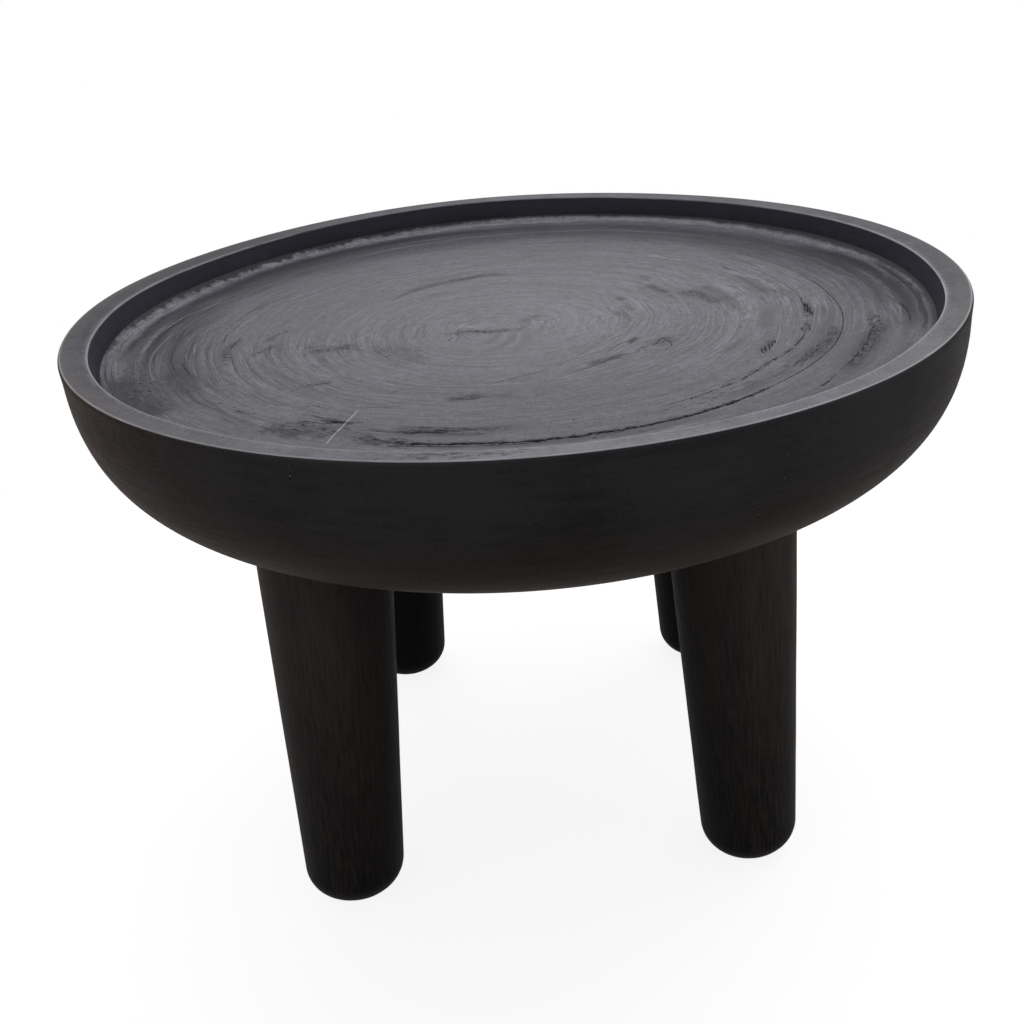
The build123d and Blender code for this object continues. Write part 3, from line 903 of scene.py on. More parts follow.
# Turned and finished by hand, the tray's opening is a little out of round and its rim a
# little low in places: (direction, millimetres) round the table
OPENING_SHIFT = [(-180, -2), (-135, 4), (-90, 6), (-60, 6), (-30, 2), (0, -2), (60, -3), (100, -1), (150, -5)]
RIM_DROP = [(-180, 1.6), (-135, 0.6), (-90, 0.4), (0, 0.8), (60, 1.6), (100, 0), (150, 2.2)]


def bowl_side_section():
    """The section from the rim's flat outwards and down to the flat bottom's middle."""
    band_z = TOP_Z - RIM_BAND
    handle = SIDE_FULLNESS * (band_z - BOTTOM_Z)
    return joined(
        arc(RIM_OUTER_RADIUS, TOP_Z - RIM_OUTER_ROUND, RIM_OUTER_ROUND, 90, 0, 8),
        straight((TOP_RADIUS, TOP_Z - RIM_OUTER_ROUND), (TOP_RADIUS, band_z), 4),
        bezier(
            (TOP_RADIUS, band_z),
            (TOP_RADIUS + SIDE_LEAN, band_z - handle),
            (BOTTOM_RADIUS + BOTTOM_LEAD, BOTTOM_Z),
            (BOTTOM_RADIUS, BOTTOM_Z),
            52,
        ),
        straight((BOTTOM_RADIUS, BOTTOM_Z), (1 * MM, BOTTOM_Z), 10),
    )


def cove_section():
    """The section from the tray's floor up its hollow and wall to the rim's flat."""
    wall_top = TOP_Z - RIM_INNER_ROUND
    cove_top = FLOOR_Z + COVE_RADIUS
    return joined(
        arc(FLOOR_RADIUS, cove_top, COVE_RADIUS, -90, 0, 14),
        straight((TRAY_RADIUS, cove_top), (TRAY_RADIUS, wall_top), 3),
        arc(RIM_INNER_RADIUS, wall_top, RIM_INNER_ROUND, 180, 90, 6),
    )


def circle(radius, segments):
    turns = np.arange(segments) * 2 * pi / segments
    return radius * np.column_stack((np.cos(turns), np.sin(turns)))


def even_points(spacing, inner, outer):
    """Points in a triangular pattern over a disc or ring."""
    count = int(outer / spacing) + 2
    column, row = np.meshgrid(np.arange(-count, count), np.arange(-2 * count, 2 * count))
    points = np.column_stack(((column + row % 2 / 2).ravel(), row.ravel() * 3**0.5 / 2)) * spacing
    return points[(off_axis(points) > inner) & (off_axis(points) < outer)]


def flat_patch(borders, points, grooves, hole=0.0):
    """Triangles over a flat disc or ring that follow its borders and every groove's lines."""
    keep = np.ones(len(points), bool)
    for groove in grooves:
        keep &= groove.share(points, wider=0.5 * MM)[0] == 0
    places = [tuple(p) for border in borders for p in border] + [tuple(p) for p in points[keep]]
    edges = []
    first = 0
    for border in borders:
        count = len(border)
        edges += [(first + k, first + (k + 1) % count) for k in range(count)]
        first += count
    for groove in grooves:
        for line in groove.outlines():
            first = len(places)
            places += [tuple(p) for p in line]
            edges += [(first + k, first + k + 1) for k in range(len(line) - 1)]
    made = delaunay_2d_cdt([Vector(p) for p in places], edges, [], 0, 0.02 * MM)
    flat = np.array([tuple(v) for v in made[0]])
    triangles = np.array([f for f in made[2] if len(f) == 3])
    return flat, triangles[off_axis(flat[triangles].mean(1)) > hole]


def floor_relief(places):
    """How deep the tray's floor lies under its highest level, before the cracks."""
    r = off_axis(places)
    rings = np.column_stack((ring_of(places), places * 0.04))
    undulation = 0.5 * MM * above_zero(flat_noise(places, 90 * MM, 5))
    ridges = 0.10 * MM * above_zero(layered_noise(rings, 9 * MM, 6))
    turned_ring = 0.35 * MM * np.exp(-(((r - 283 * MM) / (7 * MM)) ** 2))
    return unit((FLOOR_RADIUS - r) / (12 * MM)) * (undulation + ridges + turned_ring)


def rim_relief(places):
    """How deep the rim's flat lies under its highest level."""
    r = off_axis(places)
    inside = unit(np.minimum(r - RIM_INNER_RADIUS, RIM_OUTER_RADIUS - r) / (3 * MM))
    return inside * 0.35 * MM * above_zero(flat_noise(places, 30 * MM, 7))


def side_wear(points):
    """The outer side, shaped by hand: shallow dips, never outside the turned shape."""
    r = off_axis(points)
    dips = 0.7 * MM * above_zero(layered_noise(points, 90 * MM, 81))
    lines = 0.12 * MM * above_zero(layered_noise(points * (0.15, 0.15, 1), 5 * MM, 82))
    below_rim = unit((TOP_Z - 3 * MM - points[:, 2]) / (15 * MM))
    return pushed(points, -below_rim * unit((r - BOTTOM_RADIUS) / (20 * MM)) * (dips + lines) / r)


def hand_finished(points):
    """The whole bowl with its opening a little out of round and its rim a little low in places."""
    angle = direction_of(points)
    r = off_axis(points)
    z = points[:, 2]
    inner = unit((r - FLOOR_RADIUS + 25 * MM) / (30 * MM))
    outer = unit((RIM_OUTER_RADIUS - r) / (RIM_WIDTH - RIM_OUTER_ROUND - RIM_INNER_ROUND))
    in_tray = z > OUTSIDE_Z
    shift = around(OPENING_SHIFT, angle) * MM * inner * outer * in_tray
    shaped = pushed(points, shift / np.maximum(r, MM))
    shaped[:, 2] -= around(RIM_DROP, angle) * MM * unit((z - FLOOR_Z) / TRAY_DEPTH) * in_tray
    return shaped


def bowl_surface(grooves):
    """The closed surface of the whole bowl, before its joints are cut: points and faces."""
    floor_grid = even_points(FLOOR_GRID, 0, FLOOR_RADIUS - MM)
    floor_flat, floor_faces = flat_patch([circle(FLOOR_RADIUS, BOWL_SEGMENTS)], floor_grid, grooves)
    cracks = np.max([groove.share(floor_flat)[1] for groove in grooves], axis=0)
    floor = np.column_stack((floor_flat, FLOOR_Z - floor_relief(floor_flat) - cracks))

    rim_borders = [circle(radius, BOWL_SEGMENTS) for radius in (RIM_OUTER_RADIUS, RIM_INNER_RADIUS)]
    rim_grid = even_points(RIM_GRID, RIM_INNER_RADIUS + MM, RIM_OUTER_RADIUS - MM)
    rim_flat, rim_faces = flat_patch(rim_borders, rim_grid, [], hole=RIM_INNER_RADIUS + 0.1 * MM)
    rim = np.column_stack((rim_flat, TOP_Z - rim_relief(rim_flat)))

    cove_line = cove_section()
    side_line = bowl_side_section()
    cove = spun(cove_line, BOWL_SEGMENTS)
    side = side_wear(spun(side_line, BOWL_SEGMENTS))
    points = np.vstack((floor, rim, cove, side, ((0, 0, BOTTOM_Z),)))
    rim_first = len(floor)
    cove_first = rim_first + len(rim)
    side_first = cove_first + len(cove)
    faces = [tuple(f) for f in floor_faces]
    faces += [tuple(f) for f in rim_faces + rim_first]
    faces += spun_faces(len(cove_line), BOWL_SEGMENTS, cove_first)
    faces += spun_faces(len(side_line), BOWL_SEGMENTS, side_first)
    last = len(points) - 1
    low = last - BOWL_SEGMENTS
    faces += [(low + (k + 1) % BOWL_SEGMENTS, low + k, last) for k in range(BOWL_SEGMENTS)]
    return hand_finished(points), faces


def sewn_up(mesh):
    """Joins the patches of a closed surface where their borders meet, and faces them all outwards."""
    work = bmesh.new()
    work.from_mesh(mesh)
    bmesh.ops.remove_doubles(work, verts=work.verts, dist=0.01 * MM)
    bmesh.ops.recalc_face_normals(work, faces=work.faces)
    if not all(edge.is_manifold for edge in work.edges):
        raise ValueError("the patches of the bowl do not close")
    work.to_mesh(mesh)
    work.free()


def leg_joints(leg_places):
    """The cutters for the four legs' housings and mortises."""
    cutters = []
    for place, reach in leg_places:
        depth = reach + TENON_LENGTH + MORTISE_RELIEF
        low = reach - HOUSING_DEPTH
        cutters += [
            rod("housing", place, reach - 3 * HOUSING_DEPTH, reach, SHOULDER_RADIUS + SEAT_GAP, 192),
            rod("mortise", place, low, depth, TENON_RADIUS + GLUE_GAP, 96),
        ]
    return cutters


# How much the rim's edges are worn and carry a painted highlight, and how brown the stain has gone, round the
# table; at the left and right the brown is partly painted warm side light
EDGE_WEAR_AND_HIGHLIGHT = [(-180, 0.8), (-120, 1.0), (-60, 1.3), (0, 1.2), (60, 0.3), (120, 0.3)]
BROWNED_AND_SIDE_LIGHT = [
    (-180, 0.9), (-150, 1.1), (-128, 0.65), (-110, 0.1), (-60, 0), (-38, 0.4), (-15, 1.1), (30, 0.5),
    (150, 0.5),
]
# How high above the tray's floor, in millimetres, the thick stain of the wall begins
WALL_STAIN = [
    (-180, 3.9), (-165, 6.5), (-90, 5), (-20, 3.0), (0, 3.2), (15, 2.4), (30, 2.1), (60, 3.0),
    (90, 4.2), (105, 3.4), (120, 2.8), (150, 1.8), (165, 2.3),
]


def rim_level(angle):
    return TOP_Z - around(RIM_DROP, angle) * MM


def edge_wear_and_highlight(points):
    """How much the finish is worn through along the rim's two edges, with a painted highlight along them."""
    angle = direction_of(points)
    patchy = around(EDGE_WEAR_AND_HIGHLIGHT, angle) * (0.75 + 0.45 * layered_noise(points, 25 * MM, 91))
    wear_and_highlight = np.zeros(len(points))
    opening = TRAY_RADIUS + around(OPENING_SHIFT, angle) * MM
    for crest, lower, width in (
        (opening + 0.3 * RIM_INNER_ROUND, 0.3 * RIM_INNER_ROUND, INNER_EDGE_WEAR_AND_HIGHLIGHT),
        (TOP_RADIUS - 0.55 * RIM_OUTER_ROUND, 0.1 * RIM_OUTER_ROUND, OUTER_EDGE_WEAR_AND_HIGHLIGHT),
    ):
        away = np.hypot(off_axis(points) - crest, points[:, 2] - rim_level(angle) + lower)
        wear_and_highlight = np.maximum(wear_and_highlight, unit(1.3 - away / width))
    return wear_and_highlight * patchy


def brown_stain_and_side_light(points):
    """How brown the stain has gone: on the rim's outer edge and all over the outer side; at the left and
    right the brown is partly painted warm side light.
    """
    r = off_axis(points)
    on_rim = np.exp(-(((TOP_RADIUS - r) / (7 * MM)) ** 2)) * (points[:, 2] > TOP_Z - RIM_OUTER_ROUND)
    share = np.maximum(on_rim, (points[:, 2] < OUTSIDE_Z) | (r > OUTSIDE_RADIUS))
    return share * around(BROWNED_AND_SIDE_LIGHT, direction_of(points)) * (0.9 + 0.5 * layered_noise(points, 30 * MM, 92))


def set_bowl_attributes(mesh, grooves, pale):
    """Tone, tears and wear at each point of the bowl, for its materials."""
    at = vectors_of(mesh.vertices, "co")
    flat = at[:, :2]
    in_floor = (off_axis(flat) < FLOOR_RADIUS) & (np.abs(at[:, 2] - FLOOR_Z + 2 * MM) < 3 * MM)
    tear = np.zeros(len(at))
    for groove in grooves:
        tear = np.maximum(tear, groove.share(flat)[0])
    # Wear along the rim's edges, with its painted highlight
    wear_and_highlight = edge_wear_and_highlight(at)
    for line, share in pale:
        wear_and_highlight = np.maximum(wear_and_highlight, share * line.share(flat)[0] * in_floor)
    in_top = at[:, 2] > OUTSIDE_Z
    broken, smooth = stain_and_painted_light(flat)
    rise = (at[:, 2] - FLOOR_Z) / MM - around(WALL_STAIN, direction_of(at))
    set_attribute(mesh, "tear", unit(1.3 * tear) * in_floor)
    set_attribute(mesh, "wear_and_highlight", wear_and_highlight)
    set_attribute(mesh, "brown_stain_and_side_light", brown_stain_and_side_light(at))
    set_attribute(mesh, "tone", broken * in_top)
    set_attribute(mesh, "shade", smooth * in_top)
    set_attribute(mesh, "pitted", pitted(flat) * in_top)
    set_attribute(mesh, "rise", np.clip(rise, -10, 10))


def share_out_finishes(mesh):
    """The rubbed finish on what faces up, paler partly as painted sheen, and the matt one on the tray's wall,
    side and bottom.
    """
    middle = vectors_of(mesh.polygons, "center")
    r = off_axis(middle)
    z = middle[:, 2]
    wall = (z > FLOOR_Z + CLEAN_COVE) & (z < rim_level(direction_of(middle)) - 0.8 * RIM_INNER_ROUND)
    matt = (wall & (r < TOP_RADIUS - RIM_WIDTH / 2)) | (r > OUTSIDE_RADIUS) | (z < OUTSIDE_Z)
    mesh.polygons.foreach_set("material_index", matt.astype(np.int32))


def make_bowl(leg_places, rubbed_and_sheen_finish, matt_finish):
    grooves = tray_grooves()
    pale = pale_lines()
    points, faces = bowl_surface(grooves + [line for line, _ in pale])
    bowl = new_piece("tray_top_turned", new_mesh("tray_top", points, faces))
    sewn_up(bowl.data)
    cut_away(bowl, leg_joints(leg_places))
    shade(bowl.data, 28)
    set_bowl_attributes(bowl.data, grooves, pale)
    bowl.data.materials.append(rubbed_and_sheen_finish)
    bowl.data.materials.append(matt_finish)
    share_out_finishes(bowl.data)
    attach(bowl, "root")
    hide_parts("tray_top")


# --------------------------------------------------------------------------- materials
def grey(value, blue=0.0):
    """A near-grey colour, cooler above 0 and warmer below."""
    return (value * (1 - blue), value * (1 - 0.4 * blue), value * (1 + blue), 1.0)


# Pale flecks low on the side at the front right: their place, and how far out they fade
FLECKS_AT = (0.147, -0.300, 0.405)
FLECKS_FADE = (25 * MM, 75 * MM)
FLECK_COLOUR = (0.16, 0.15, 0.14, 1)
# The side's stain: at the top and low down, where its darker brown is partly a painted warm reflection of the
# floor; browned, partly painted warm side light; rubbed; in its figured grain; and on its edge, worn and with
# a painted highlight
SIDE_TOP = (0.0480, 0.0485, 0.0540, 1)
SIDE_LOW = (0.0255, 0.0148, 0.0092, 1)
SIDE_BROWN = (0.0245, 0.0145, 0.0098, 1)
SIDE_RUBBED = (0.064, 0.056, 0.051, 1)
SIDE_THICK = grey(0.010)
SIDE_FIGURE = (0.092, 0.066, 0.050, 1)
SIDE_EDGE = (0.13, 0.098, 0.080, 1)
# The tray's pits, its browned rim, partly painted warm side light, what is torn open, and what is worn
# through, with the painted highlight on the rim's edges
PIT_COLOUR = (0.010, 0.0095, 0.014, 1)
RIM_BROWN = (0.125, 0.098, 0.085, 1)
TORN_COLOUR = grey(0.008)
WEAR_AND_HIGHLIGHT_COLOUR = grey(0.47, 0.05)
# The legs' streaks of darker and browner stain, each where it is thick and where it is paler: paler higher up
# and on the outer side; the outer side's paleness is painted light and the inner side's darkness painted
# shade
LEG_DARK = ((0.0060, 0.0058, 0.0061, 1), (0.046, 0.0415, 0.0415, 1))
LEG_BROWN = ((0.0095, 0.0086, 0.0082, 1), (0.079, 0.0655, 0.0570, 1))
LEG_PORES = (0.088, 0.075, 0.067, 1)
# From a leg's inner side (-1) to its outer side (1), where the painted light on the outer side sets in and is
# full; the inner side keeps the darker colour as painted shade
LEG_OUTWARD = (-0.7, 0.8)
# Short marks on the side, in millimetres: start, end, half width and how pale
SIDE_MARKS = [
    ((-130.7, -330.1, 461), (-130.5, -329.6, 457), 0.5, 0.08),
    ((-131.6, -329.2, 453.5), (-131.7, -329.1, 453), 0.8, 0.16),
    ((-131.7, -329.1, 451.8), (-131.9, -329, 451.2), 0.9, 0.004),
    ((297.9, -191.2, 442.5), (297.9, -191.2, 440.5), 1.6, 0.004),
]


def add(tree, kind, inputs=None, **settings):
    """A shader node with its settings and inputs, each a value or another node's output."""
    made = tree.nodes.new("ShaderNode" + kind)
    for name, value in settings.items():
        setattr(made, name, value)
    for key, value in (inputs or {}).items():
        connect(made.inputs[key], value)
    return made.outputs


def connect(socket, value):
    if isinstance(value, bpy.types.NodeSocket):
        socket.id_data.links.new(value, socket)
    else:
        socket.default_value = value


def tree_of(*values):
    """The node tree that the values belong to: the first one that is a node's output tells."""
    return next(value.id_data for value in values if isinstance(value, bpy.types.NodeSocket))


def maths(operation, *values):
    return add(tree_of(*values), "Math", dict(enumerate(values)), operation=operation)[0]


def product(*values):
    total = values[0]
    for value in values[1:]:
        total = maths("MULTIPLY", total, value)
    return total


def weighted(*pairs):
    """The sum of each value times its weight."""
    total = 0.0
    for value, weight in pairs:
        total = maths("MULTIPLY_ADD", value, weight, total)
    return total


def vectors(operation, *values):
    out = add(tree_of(*values), "VectorMath", dict(enumerate(values)), operation=operation)
    return out["Value"] if operation in ("DOT_PRODUCT", "LENGTH", "DISTANCE") else out["Vector"]


def part(vector, axis):
    return add(vector.id_data, "SeparateXYZ", {0: vector})[axis]


def vector_of(*values):
    return add(tree_of(*values), "CombineXYZ", dict(enumerate(values)))[0]


def scaled(vector, factors):
    return vectors("MULTIPLY", vector, factors)


def noise(vector, scale, detail=3.0, roughness=0.55, distortion=0.0):
    """Noise from about -1 to 1."""
    values = {"Scale": scale, "Detail": detail, "Roughness": roughness, "Distortion": distortion}
    return maths("MULTIPLY_ADD", add(vector.id_data, "TexNoise", {"Vector": vector, **values})[0], 4.0, -2.0)


def span(value, low, high, to_low=0.0, to_high=1.0):
    """The value brought from between low and high to between two others, and held there."""
    inputs = {"Value": value, "From Min": low, "From Max": high, "To Min": to_low, "To Max": to_high}
    return add(value.id_data, "MapRange", inputs, clamp=True)[0]


def blend(share, first, second):
    """A colour between two colours."""
    out = add(share.id_data, "Mix", {"Factor": share}, data_type="RGBA")
    mix = out[2].node
    connect(mix.inputs[6], first)
    connect(mix.inputs[7], second)
    return out[2]


def ramp(value, stops):
    """A colour for a value, between stops of (value, colour)."""
    colour = add(value.id_data, "ValToRGB", {0: value})["Color"]
    elements = colour.node.color_ramp.elements
    while len(elements) < len(stops):
        elements.new(0.5)
    for element, (position, shown) in zip(elements, stops):
        element.position = position
        element.color = shown
    return colour


def attribute(tree, name, kind="Fac"):
    return add(tree, "Attribute", attribute_name=name)[kind]


def object_place(tree):
    return add(tree, "TexCoord")["Object"]


def new_material(name):
    material = bpy.data.materials.new(name)
    material.use_nodes = True
    material.node_tree.nodes.clear()
    return material, material.node_tree


def finish_material(colour, roughness, height, bump, **plain):
    """The shader at the end of a material: bump is the height's size in metres."""
    tree = colour.id_data
    normal = add(tree, "Bump", {"Height": height, "Distance": bump, "Strength": 1.0})["Normal"]
    inputs = {"Base Color": colour, "Roughness": roughness, "Normal": normal}
    inputs.update({name.replace("_", " "): value for name, value in plain.items()})
    add(tree, "OutputMaterial", {"Surface": add(tree, "BsdfPrincipled", inputs)[0]})


def vein(value, half_width):
    """Thin lines where a noise passes through 0."""
    share = maths("MULTIPLY_ADD", maths("ABSOLUTE", value), -1 / half_width, 1.0)
    return maths("MAXIMUM", share, 0.0)


def ring_coordinates(tree):
    """Each point's place, the radius of its growth ring and its direction from the ring's centre."""
    place = object_place(tree)
    offset = vectors("SUBTRACT", scaled(place, (1, 1, 0)), (*PITH, 0))
    drift = (*(PITH / RING_REACH), 0)
    shrink = 1 - float(PITH @ PITH) / RING_REACH**2
    along = vectors("DOT_PRODUCT", offset, drift)
    square = vectors("DOT_PRODUCT", offset, offset)
    root = maths("SQRT", maths("MULTIPLY_ADD", square, shrink, product(along, along)))
    ring = maths("DIVIDE", maths("ADD", along, root), shrink)
    moved = vectors("MULTIPLY_ADD", vector_of(ring, ring, 0.0), drift, offset)
    return place, ring, vectors("NORMALIZE", moved)


# Where, from side to side, the dark lines at the left and the pale ones at the right set in
LEFT_LINES = (-0.14, -0.22)
RIGHT_LINES = (0.02, 0.12)


def along_rings(ring, heading, turns, lines):
    """A coordinate for noise that is drawn out along the rings, less so near the pith."""
    near_pith = maths("DIVIDE", ring, maths("ADD", ring, PITH_REACH))
    turned = vectors("MULTIPLY", vector_of(near_pith, near_pith, 0.0), heading)
    return vectors("ADD", scaled(turned, (turns, turns, 0)), vector_of(0.0, 0.0, product(ring, lines)))


def tray_material():
    """Black stain rubbed thin over the growth rings of the tray and rim, under a satin wax, with painted
    sheen, highlights and shade in its colour.
    """
    material, tree = new_material("black_stain_rubbed_and_sheen")
    place, ring, heading = ring_coordinates(tree)
    ring = weighted((ring, 1.0), (noise(place, 9, 3), 0.003), (noise(place, 45, 2), 0.0006))
    flat = scaled(place, (1, 1, 0))
    across = part(place, "X")
    height_up = part(place, "Z")
    on_rim = span(vectors("LENGTH", flat), TRAY_RADIUS - 6 * MM, TRAY_RADIUS)

    def ring_noise(turns, lines, *kind):
        return noise(along_rings(ring, heading, turns, lines), 1, *kind)

    bands = ring_noise(0.8, 45, 3, 0.6)
    lines = ring_noise(2.5, 210, 5, 0.75)
    fibres = ring_noise(12, 640, 3, 0.7)
    cloud = noise(place, 6, 4, 0.6)
    mottle = noise(place, 170, 4, 0.8)
    specks = noise(place, 800, 2, 0.7)

    # Thin lines that run along the rings and come and go
    sideways = span(maths("ABSOLUTE", part(heading, "X")), 0.2, 0.9, 0.35, 1.0)
    comes = maths("MAXIMUM", span(noise(place, 13, 3), -0.2, 0.5), span(across, *LEFT_LINES))
    goes = span(noise(flat, 17.7, 3), -0.2, 0.5)
    dark_lines = product(vein(ring_noise(0.9, 105, 2, 0.5), 0.10), comes, sideways)
    pale_lines = product(vein(ring_noise(1.1, 85.3, 2, 0.5), 0.08), goes, sideways)
    dark_lines = product(dark_lines, span(across, *LEFT_LINES, 0.8, 1.15))
    pale_lines = product(pale_lines, span(across, *RIGHT_LINES, 0.7, 1.2))

    clear = product(span(cloud, -0.7, 0.7, 0.6, 1.2), span(on_rim, 0, 1, 1.0, 0.15))
    streaks = weighted((bands, 0.08), (lines, 0.20), (fibres, 0.19), (dark_lines, -0.34), (pale_lines, 0.30))
    speckle = product(weighted((mottle, 0.14), (specks, 0.20)), span(on_rim, 0, 1, 1.0, 0.7))
    patches = product(noise(place, 42, 4, 0.6), on_rim)
    grain = weighted((product(streaks, clear), 1.0), (cloud, 0.05), (speckle, 1.0), (patches, 0.16))
    broken = weighted((lines, 0.5), (fibres, 0.7), (mottle, 0.6), (specks, 0.6))
    # Stain strokes, and part of the painted highlight and shade round the hollow, broken up by the grain;
    # shade adds the painted sheen of the middle and rim
    stain_and_light_strokes = product(attribute(tree, "tone"), span(broken, -0.25, 0.35, 0.0, 2.2))
    tone = weighted((stain_and_light_strokes, 1.0), (attribute(tree, "shade"), 1.0), (grain, 1.0), (1.0, 0.54))
    # Paler than the side's stain partly as painted sheen
    colour = ramp(tone, TRAY_TONES)

    # Small dark pits and crooked torn fibres
    thickly = attribute(tree, "pitted")
    pits = weighted((ring_noise(40, 300, 3, 0.7), 0.8), (specks, 0.35))
    pits = span(weighted((pits, 1.0), (thickly, 0.95)), 0.75, 1.05, 0.0, 0.85)
    worms = vein(noise(place, 150, 2, 0.5, 0.6), 0.28)
    worms = product(worms, span(noise(place, 75, 2), -0.1, 0.35), span(thickly, 0.3, 1.0, 0.0, 0.95))
    colour = blend(maths("MAXIMUM", pits, worms), colour, PIT_COLOUR)

    # The ragged lower edge of the wall's thick stain, which is darker low down as painted shade
    ragged = weighted((noise(scaled(place, (1, 1, 0.3)), 70, 3, 0.6), 1.0), (fibres, 0.2))
    ragged = product(ragged, span(across, 0.0, -0.2, 1.0, 2.6))
    on_wall = span(maths("ADD", attribute(tree, "rise"), ragged), -0.8, 1.2)
    on_wall = product(on_wall, span(height_up, TOP_Z - 5 * MM, TOP_Z - 6 * MM))
    colour = blend(on_wall, colour, wall_colour(height_up, cloud, mottle))

    # Brown on the rim's outer edge, partly painted warm side light at the left and right
    colour = blend(product(attribute(tree, "brown_stain_and_side_light"), 0.55), colour, RIM_BROWN)
    colour = blend(product(attribute(tree, "tear"), 0.9), colour, TORN_COLOUR)
    # Wear, pale scratches and the painted highlight along the rim's edges
    colour = blend(attribute(tree, "wear_and_highlight"), colour, WEAR_AND_HIGHLIGHT_COLOUR)
    height = weighted((lines, 0.4), (fibres, 0.25), (mottle, 0.2), (specks, 0.15))
    roughness = span(weighted((lines, 0.5), (cloud, 0.5)), -1, 1, 0.44, 0.6)
    finish_material(colour, roughness, height, 0.15 * MM, Specular_IOR_Level=0.14)
    return material


def wall_colour(height_up, cloud, mottle):
    """The tray's wall: darkest in its hollow as painted shade, paler towards the rim."""
    share = weighted((height_up, 1.0), (cloud, 0.002), (mottle, 0.0012))
    return blend(span(share, FLOOR_Z + 6 * MM, FLOOR_Z + 17 * MM), WALL_LOW, WALL_HIGH)


def near_line(place, start, end, half_width):
    """1 on a straight mark between two places, and 0 beyond its half width, in millimetres."""
    start, end = np.array(start) * MM, np.array(end) * MM
    offset = vectors("SUBTRACT", place, tuple(start))
    along = end - start
    share = span(vectors("DOT_PRODUCT", offset, tuple(along / (along @ along))), 0, 1)
    away = vectors("DISTANCE", offset, vectors("MULTIPLY", vector_of(share, share, share), tuple(along)))
    return span(away, half_width * MM, 0.4 * half_width * MM)


def side_material():
    """The matt black stain of the bowl's wall, side and bottom, browner lower down, partly as a painted warm
    reflection of the floor.
    """
    material, tree = new_material("black_stain_matt")
    place = object_place(tree)
    height_up = part(place, "Z")
    brown_and_side_light = attribute(tree, "brown_stain_and_side_light")
    grain = noise(scaled(place, (0.12, 0.12, 1)), 180, 5, 0.65)
    cloud = noise(place, 9, 5, 0.6)
    specks = noise(place, 500, 3, 0.7)
    # Darker and browner low down, partly a painted warm reflection of the floor; browner at the left and
    # right, partly painted warm side light
    low = span(weighted((height_up, 1.0), (cloud, 0.02)), TOP_Z - 0.025, TOP_Z - 0.11)
    colour = blend(brown_and_side_light, blend(low, SIDE_TOP, SIDE_LOW), SIDE_BROWN)
    paler_share = span(weighted((grain, 0.6), (specks, 0.5)), -0.2, 1.3)
    thick = span(weighted((grain, -0.5), (cloud, -0.8), (specks, -0.3)), -0.1, 1.1, 0.0, 0.6)
    figure = vein(noise(scaled(place, (1, 1, 1.6)), 38, 4, 0.6, 0.8), 0.16)
    figure = product(figure, span(brown_and_side_light, 0.4, 1.0, 0.0, 0.5))
    for share, shown in ((paler_share, SIDE_RUBBED), (thick, SIDE_THICK), (figure, SIDE_FIGURE)):
        colour = blend(share, colour, shown)

    # Inside the tray, the wall's own stain, with its painted shade low in the hollow
    out = vectors("LENGTH", scaled(place, (1, 1, 0)))
    in_tray = span(out, TRAY_RADIUS + 8 * MM, TRAY_RADIUS + 7 * MM)
    in_tray = product(in_tray, span(height_up, FLOOR_Z, FLOOR_Z + MM))
    colour = blend(in_tray, colour, wall_colour(height_up, cloud, noise(place, 170, 4, 0.8)))

    # The worn edge with its painted highlight, the pale flecks and the short marks
    colour = blend(product(attribute(tree, "wear_and_highlight"), brown_and_side_light), colour, SIDE_EDGE)
    flecked = span(vectors("DISTANCE", place, FLECKS_AT), *FLECKS_FADE, 1.0, 0.0)
    dots = add(tree, "TexVoronoi", {"Vector": place, "Scale": 260.0})["Distance"]
    dots = product(span(dots, 0.16, 0.10), span(noise(place, 90, 3), 0.35, 0.6))
    colour = blend(product(flecked, dots), colour, FLECK_COLOUR)
    for start, end, half_width, paleness in SIDE_MARKS:
        colour = blend(near_line(place, start, end, half_width), colour, grey(paleness))
    roughness = span(grain, -1, 1, 0.58, 0.75)
    finish_material(colour, roughness, grain, 0.15 * MM, Specular_IOR_Level=0.04)
    return material


def leg_material():
    """Matt black stain over straight grain that runs up the leg, paler on its outer side as painted light and
    darker on its inner side as painted shade.
    """
    material, tree = new_material("black_stain_leg")
    place = attribute(tree, "grain", "Vector")
    outness = attribute(tree, "outness")
    streaks = noise(scaled(place, (1, 1, 0.09)), 430, 4, 0.65)
    broad = noise(scaled(place, (1, 1, 0.2)), 34, 4, 0.6)
    high = span(part(object_place(tree), "Z"), 0.02, BOTTOM_Z - 0.03)
    # Paler higher up and on the outer side as painted light; the inner side stays dark as painted shade
    paler_share = product(high, span(outness, *LEG_OUTWARD))
    colour = blend(span(broad, -0.6, 1.0), blend(paler_share, *LEG_DARK), blend(paler_share, *LEG_BROWN))
    # Pale pores, more of them on the outer side as painted light
    pores = span(streaks, -0.3, 1.4, 0.0, span(outness, *LEG_OUTWARD, 0.12, 0.75))
    colour = blend(pores, colour, LEG_PORES)
    colour = blend(span(streaks, -0.3, -1.2, 0.0, 0.7), colour, TORN_COLOUR)
    height = weighted((streaks, 0.7), (broad, 0.3))
    roughness = span(streaks, -1, 1, 0.55, 0.75)
    finish_material(colour, roughness, height, 0.2 * MM, Specular_IOR_Level=0.025)
    return material


def streaked_material(name, stretch, kind, dark, pale, roughness, bump, **plain):
    """A material with streaks of two colours, for the hidden wedges and the screws."""
    material, tree = new_material(name)
    streaks = noise(scaled(object_place(tree), (1, 1, stretch)), *kind)
    colour = blend(span(streaks, -1, 1), dark, pale)
    finish_material(colour, span(streaks, -1, 1, *roughness), streaks, bump, **plain)
    return material


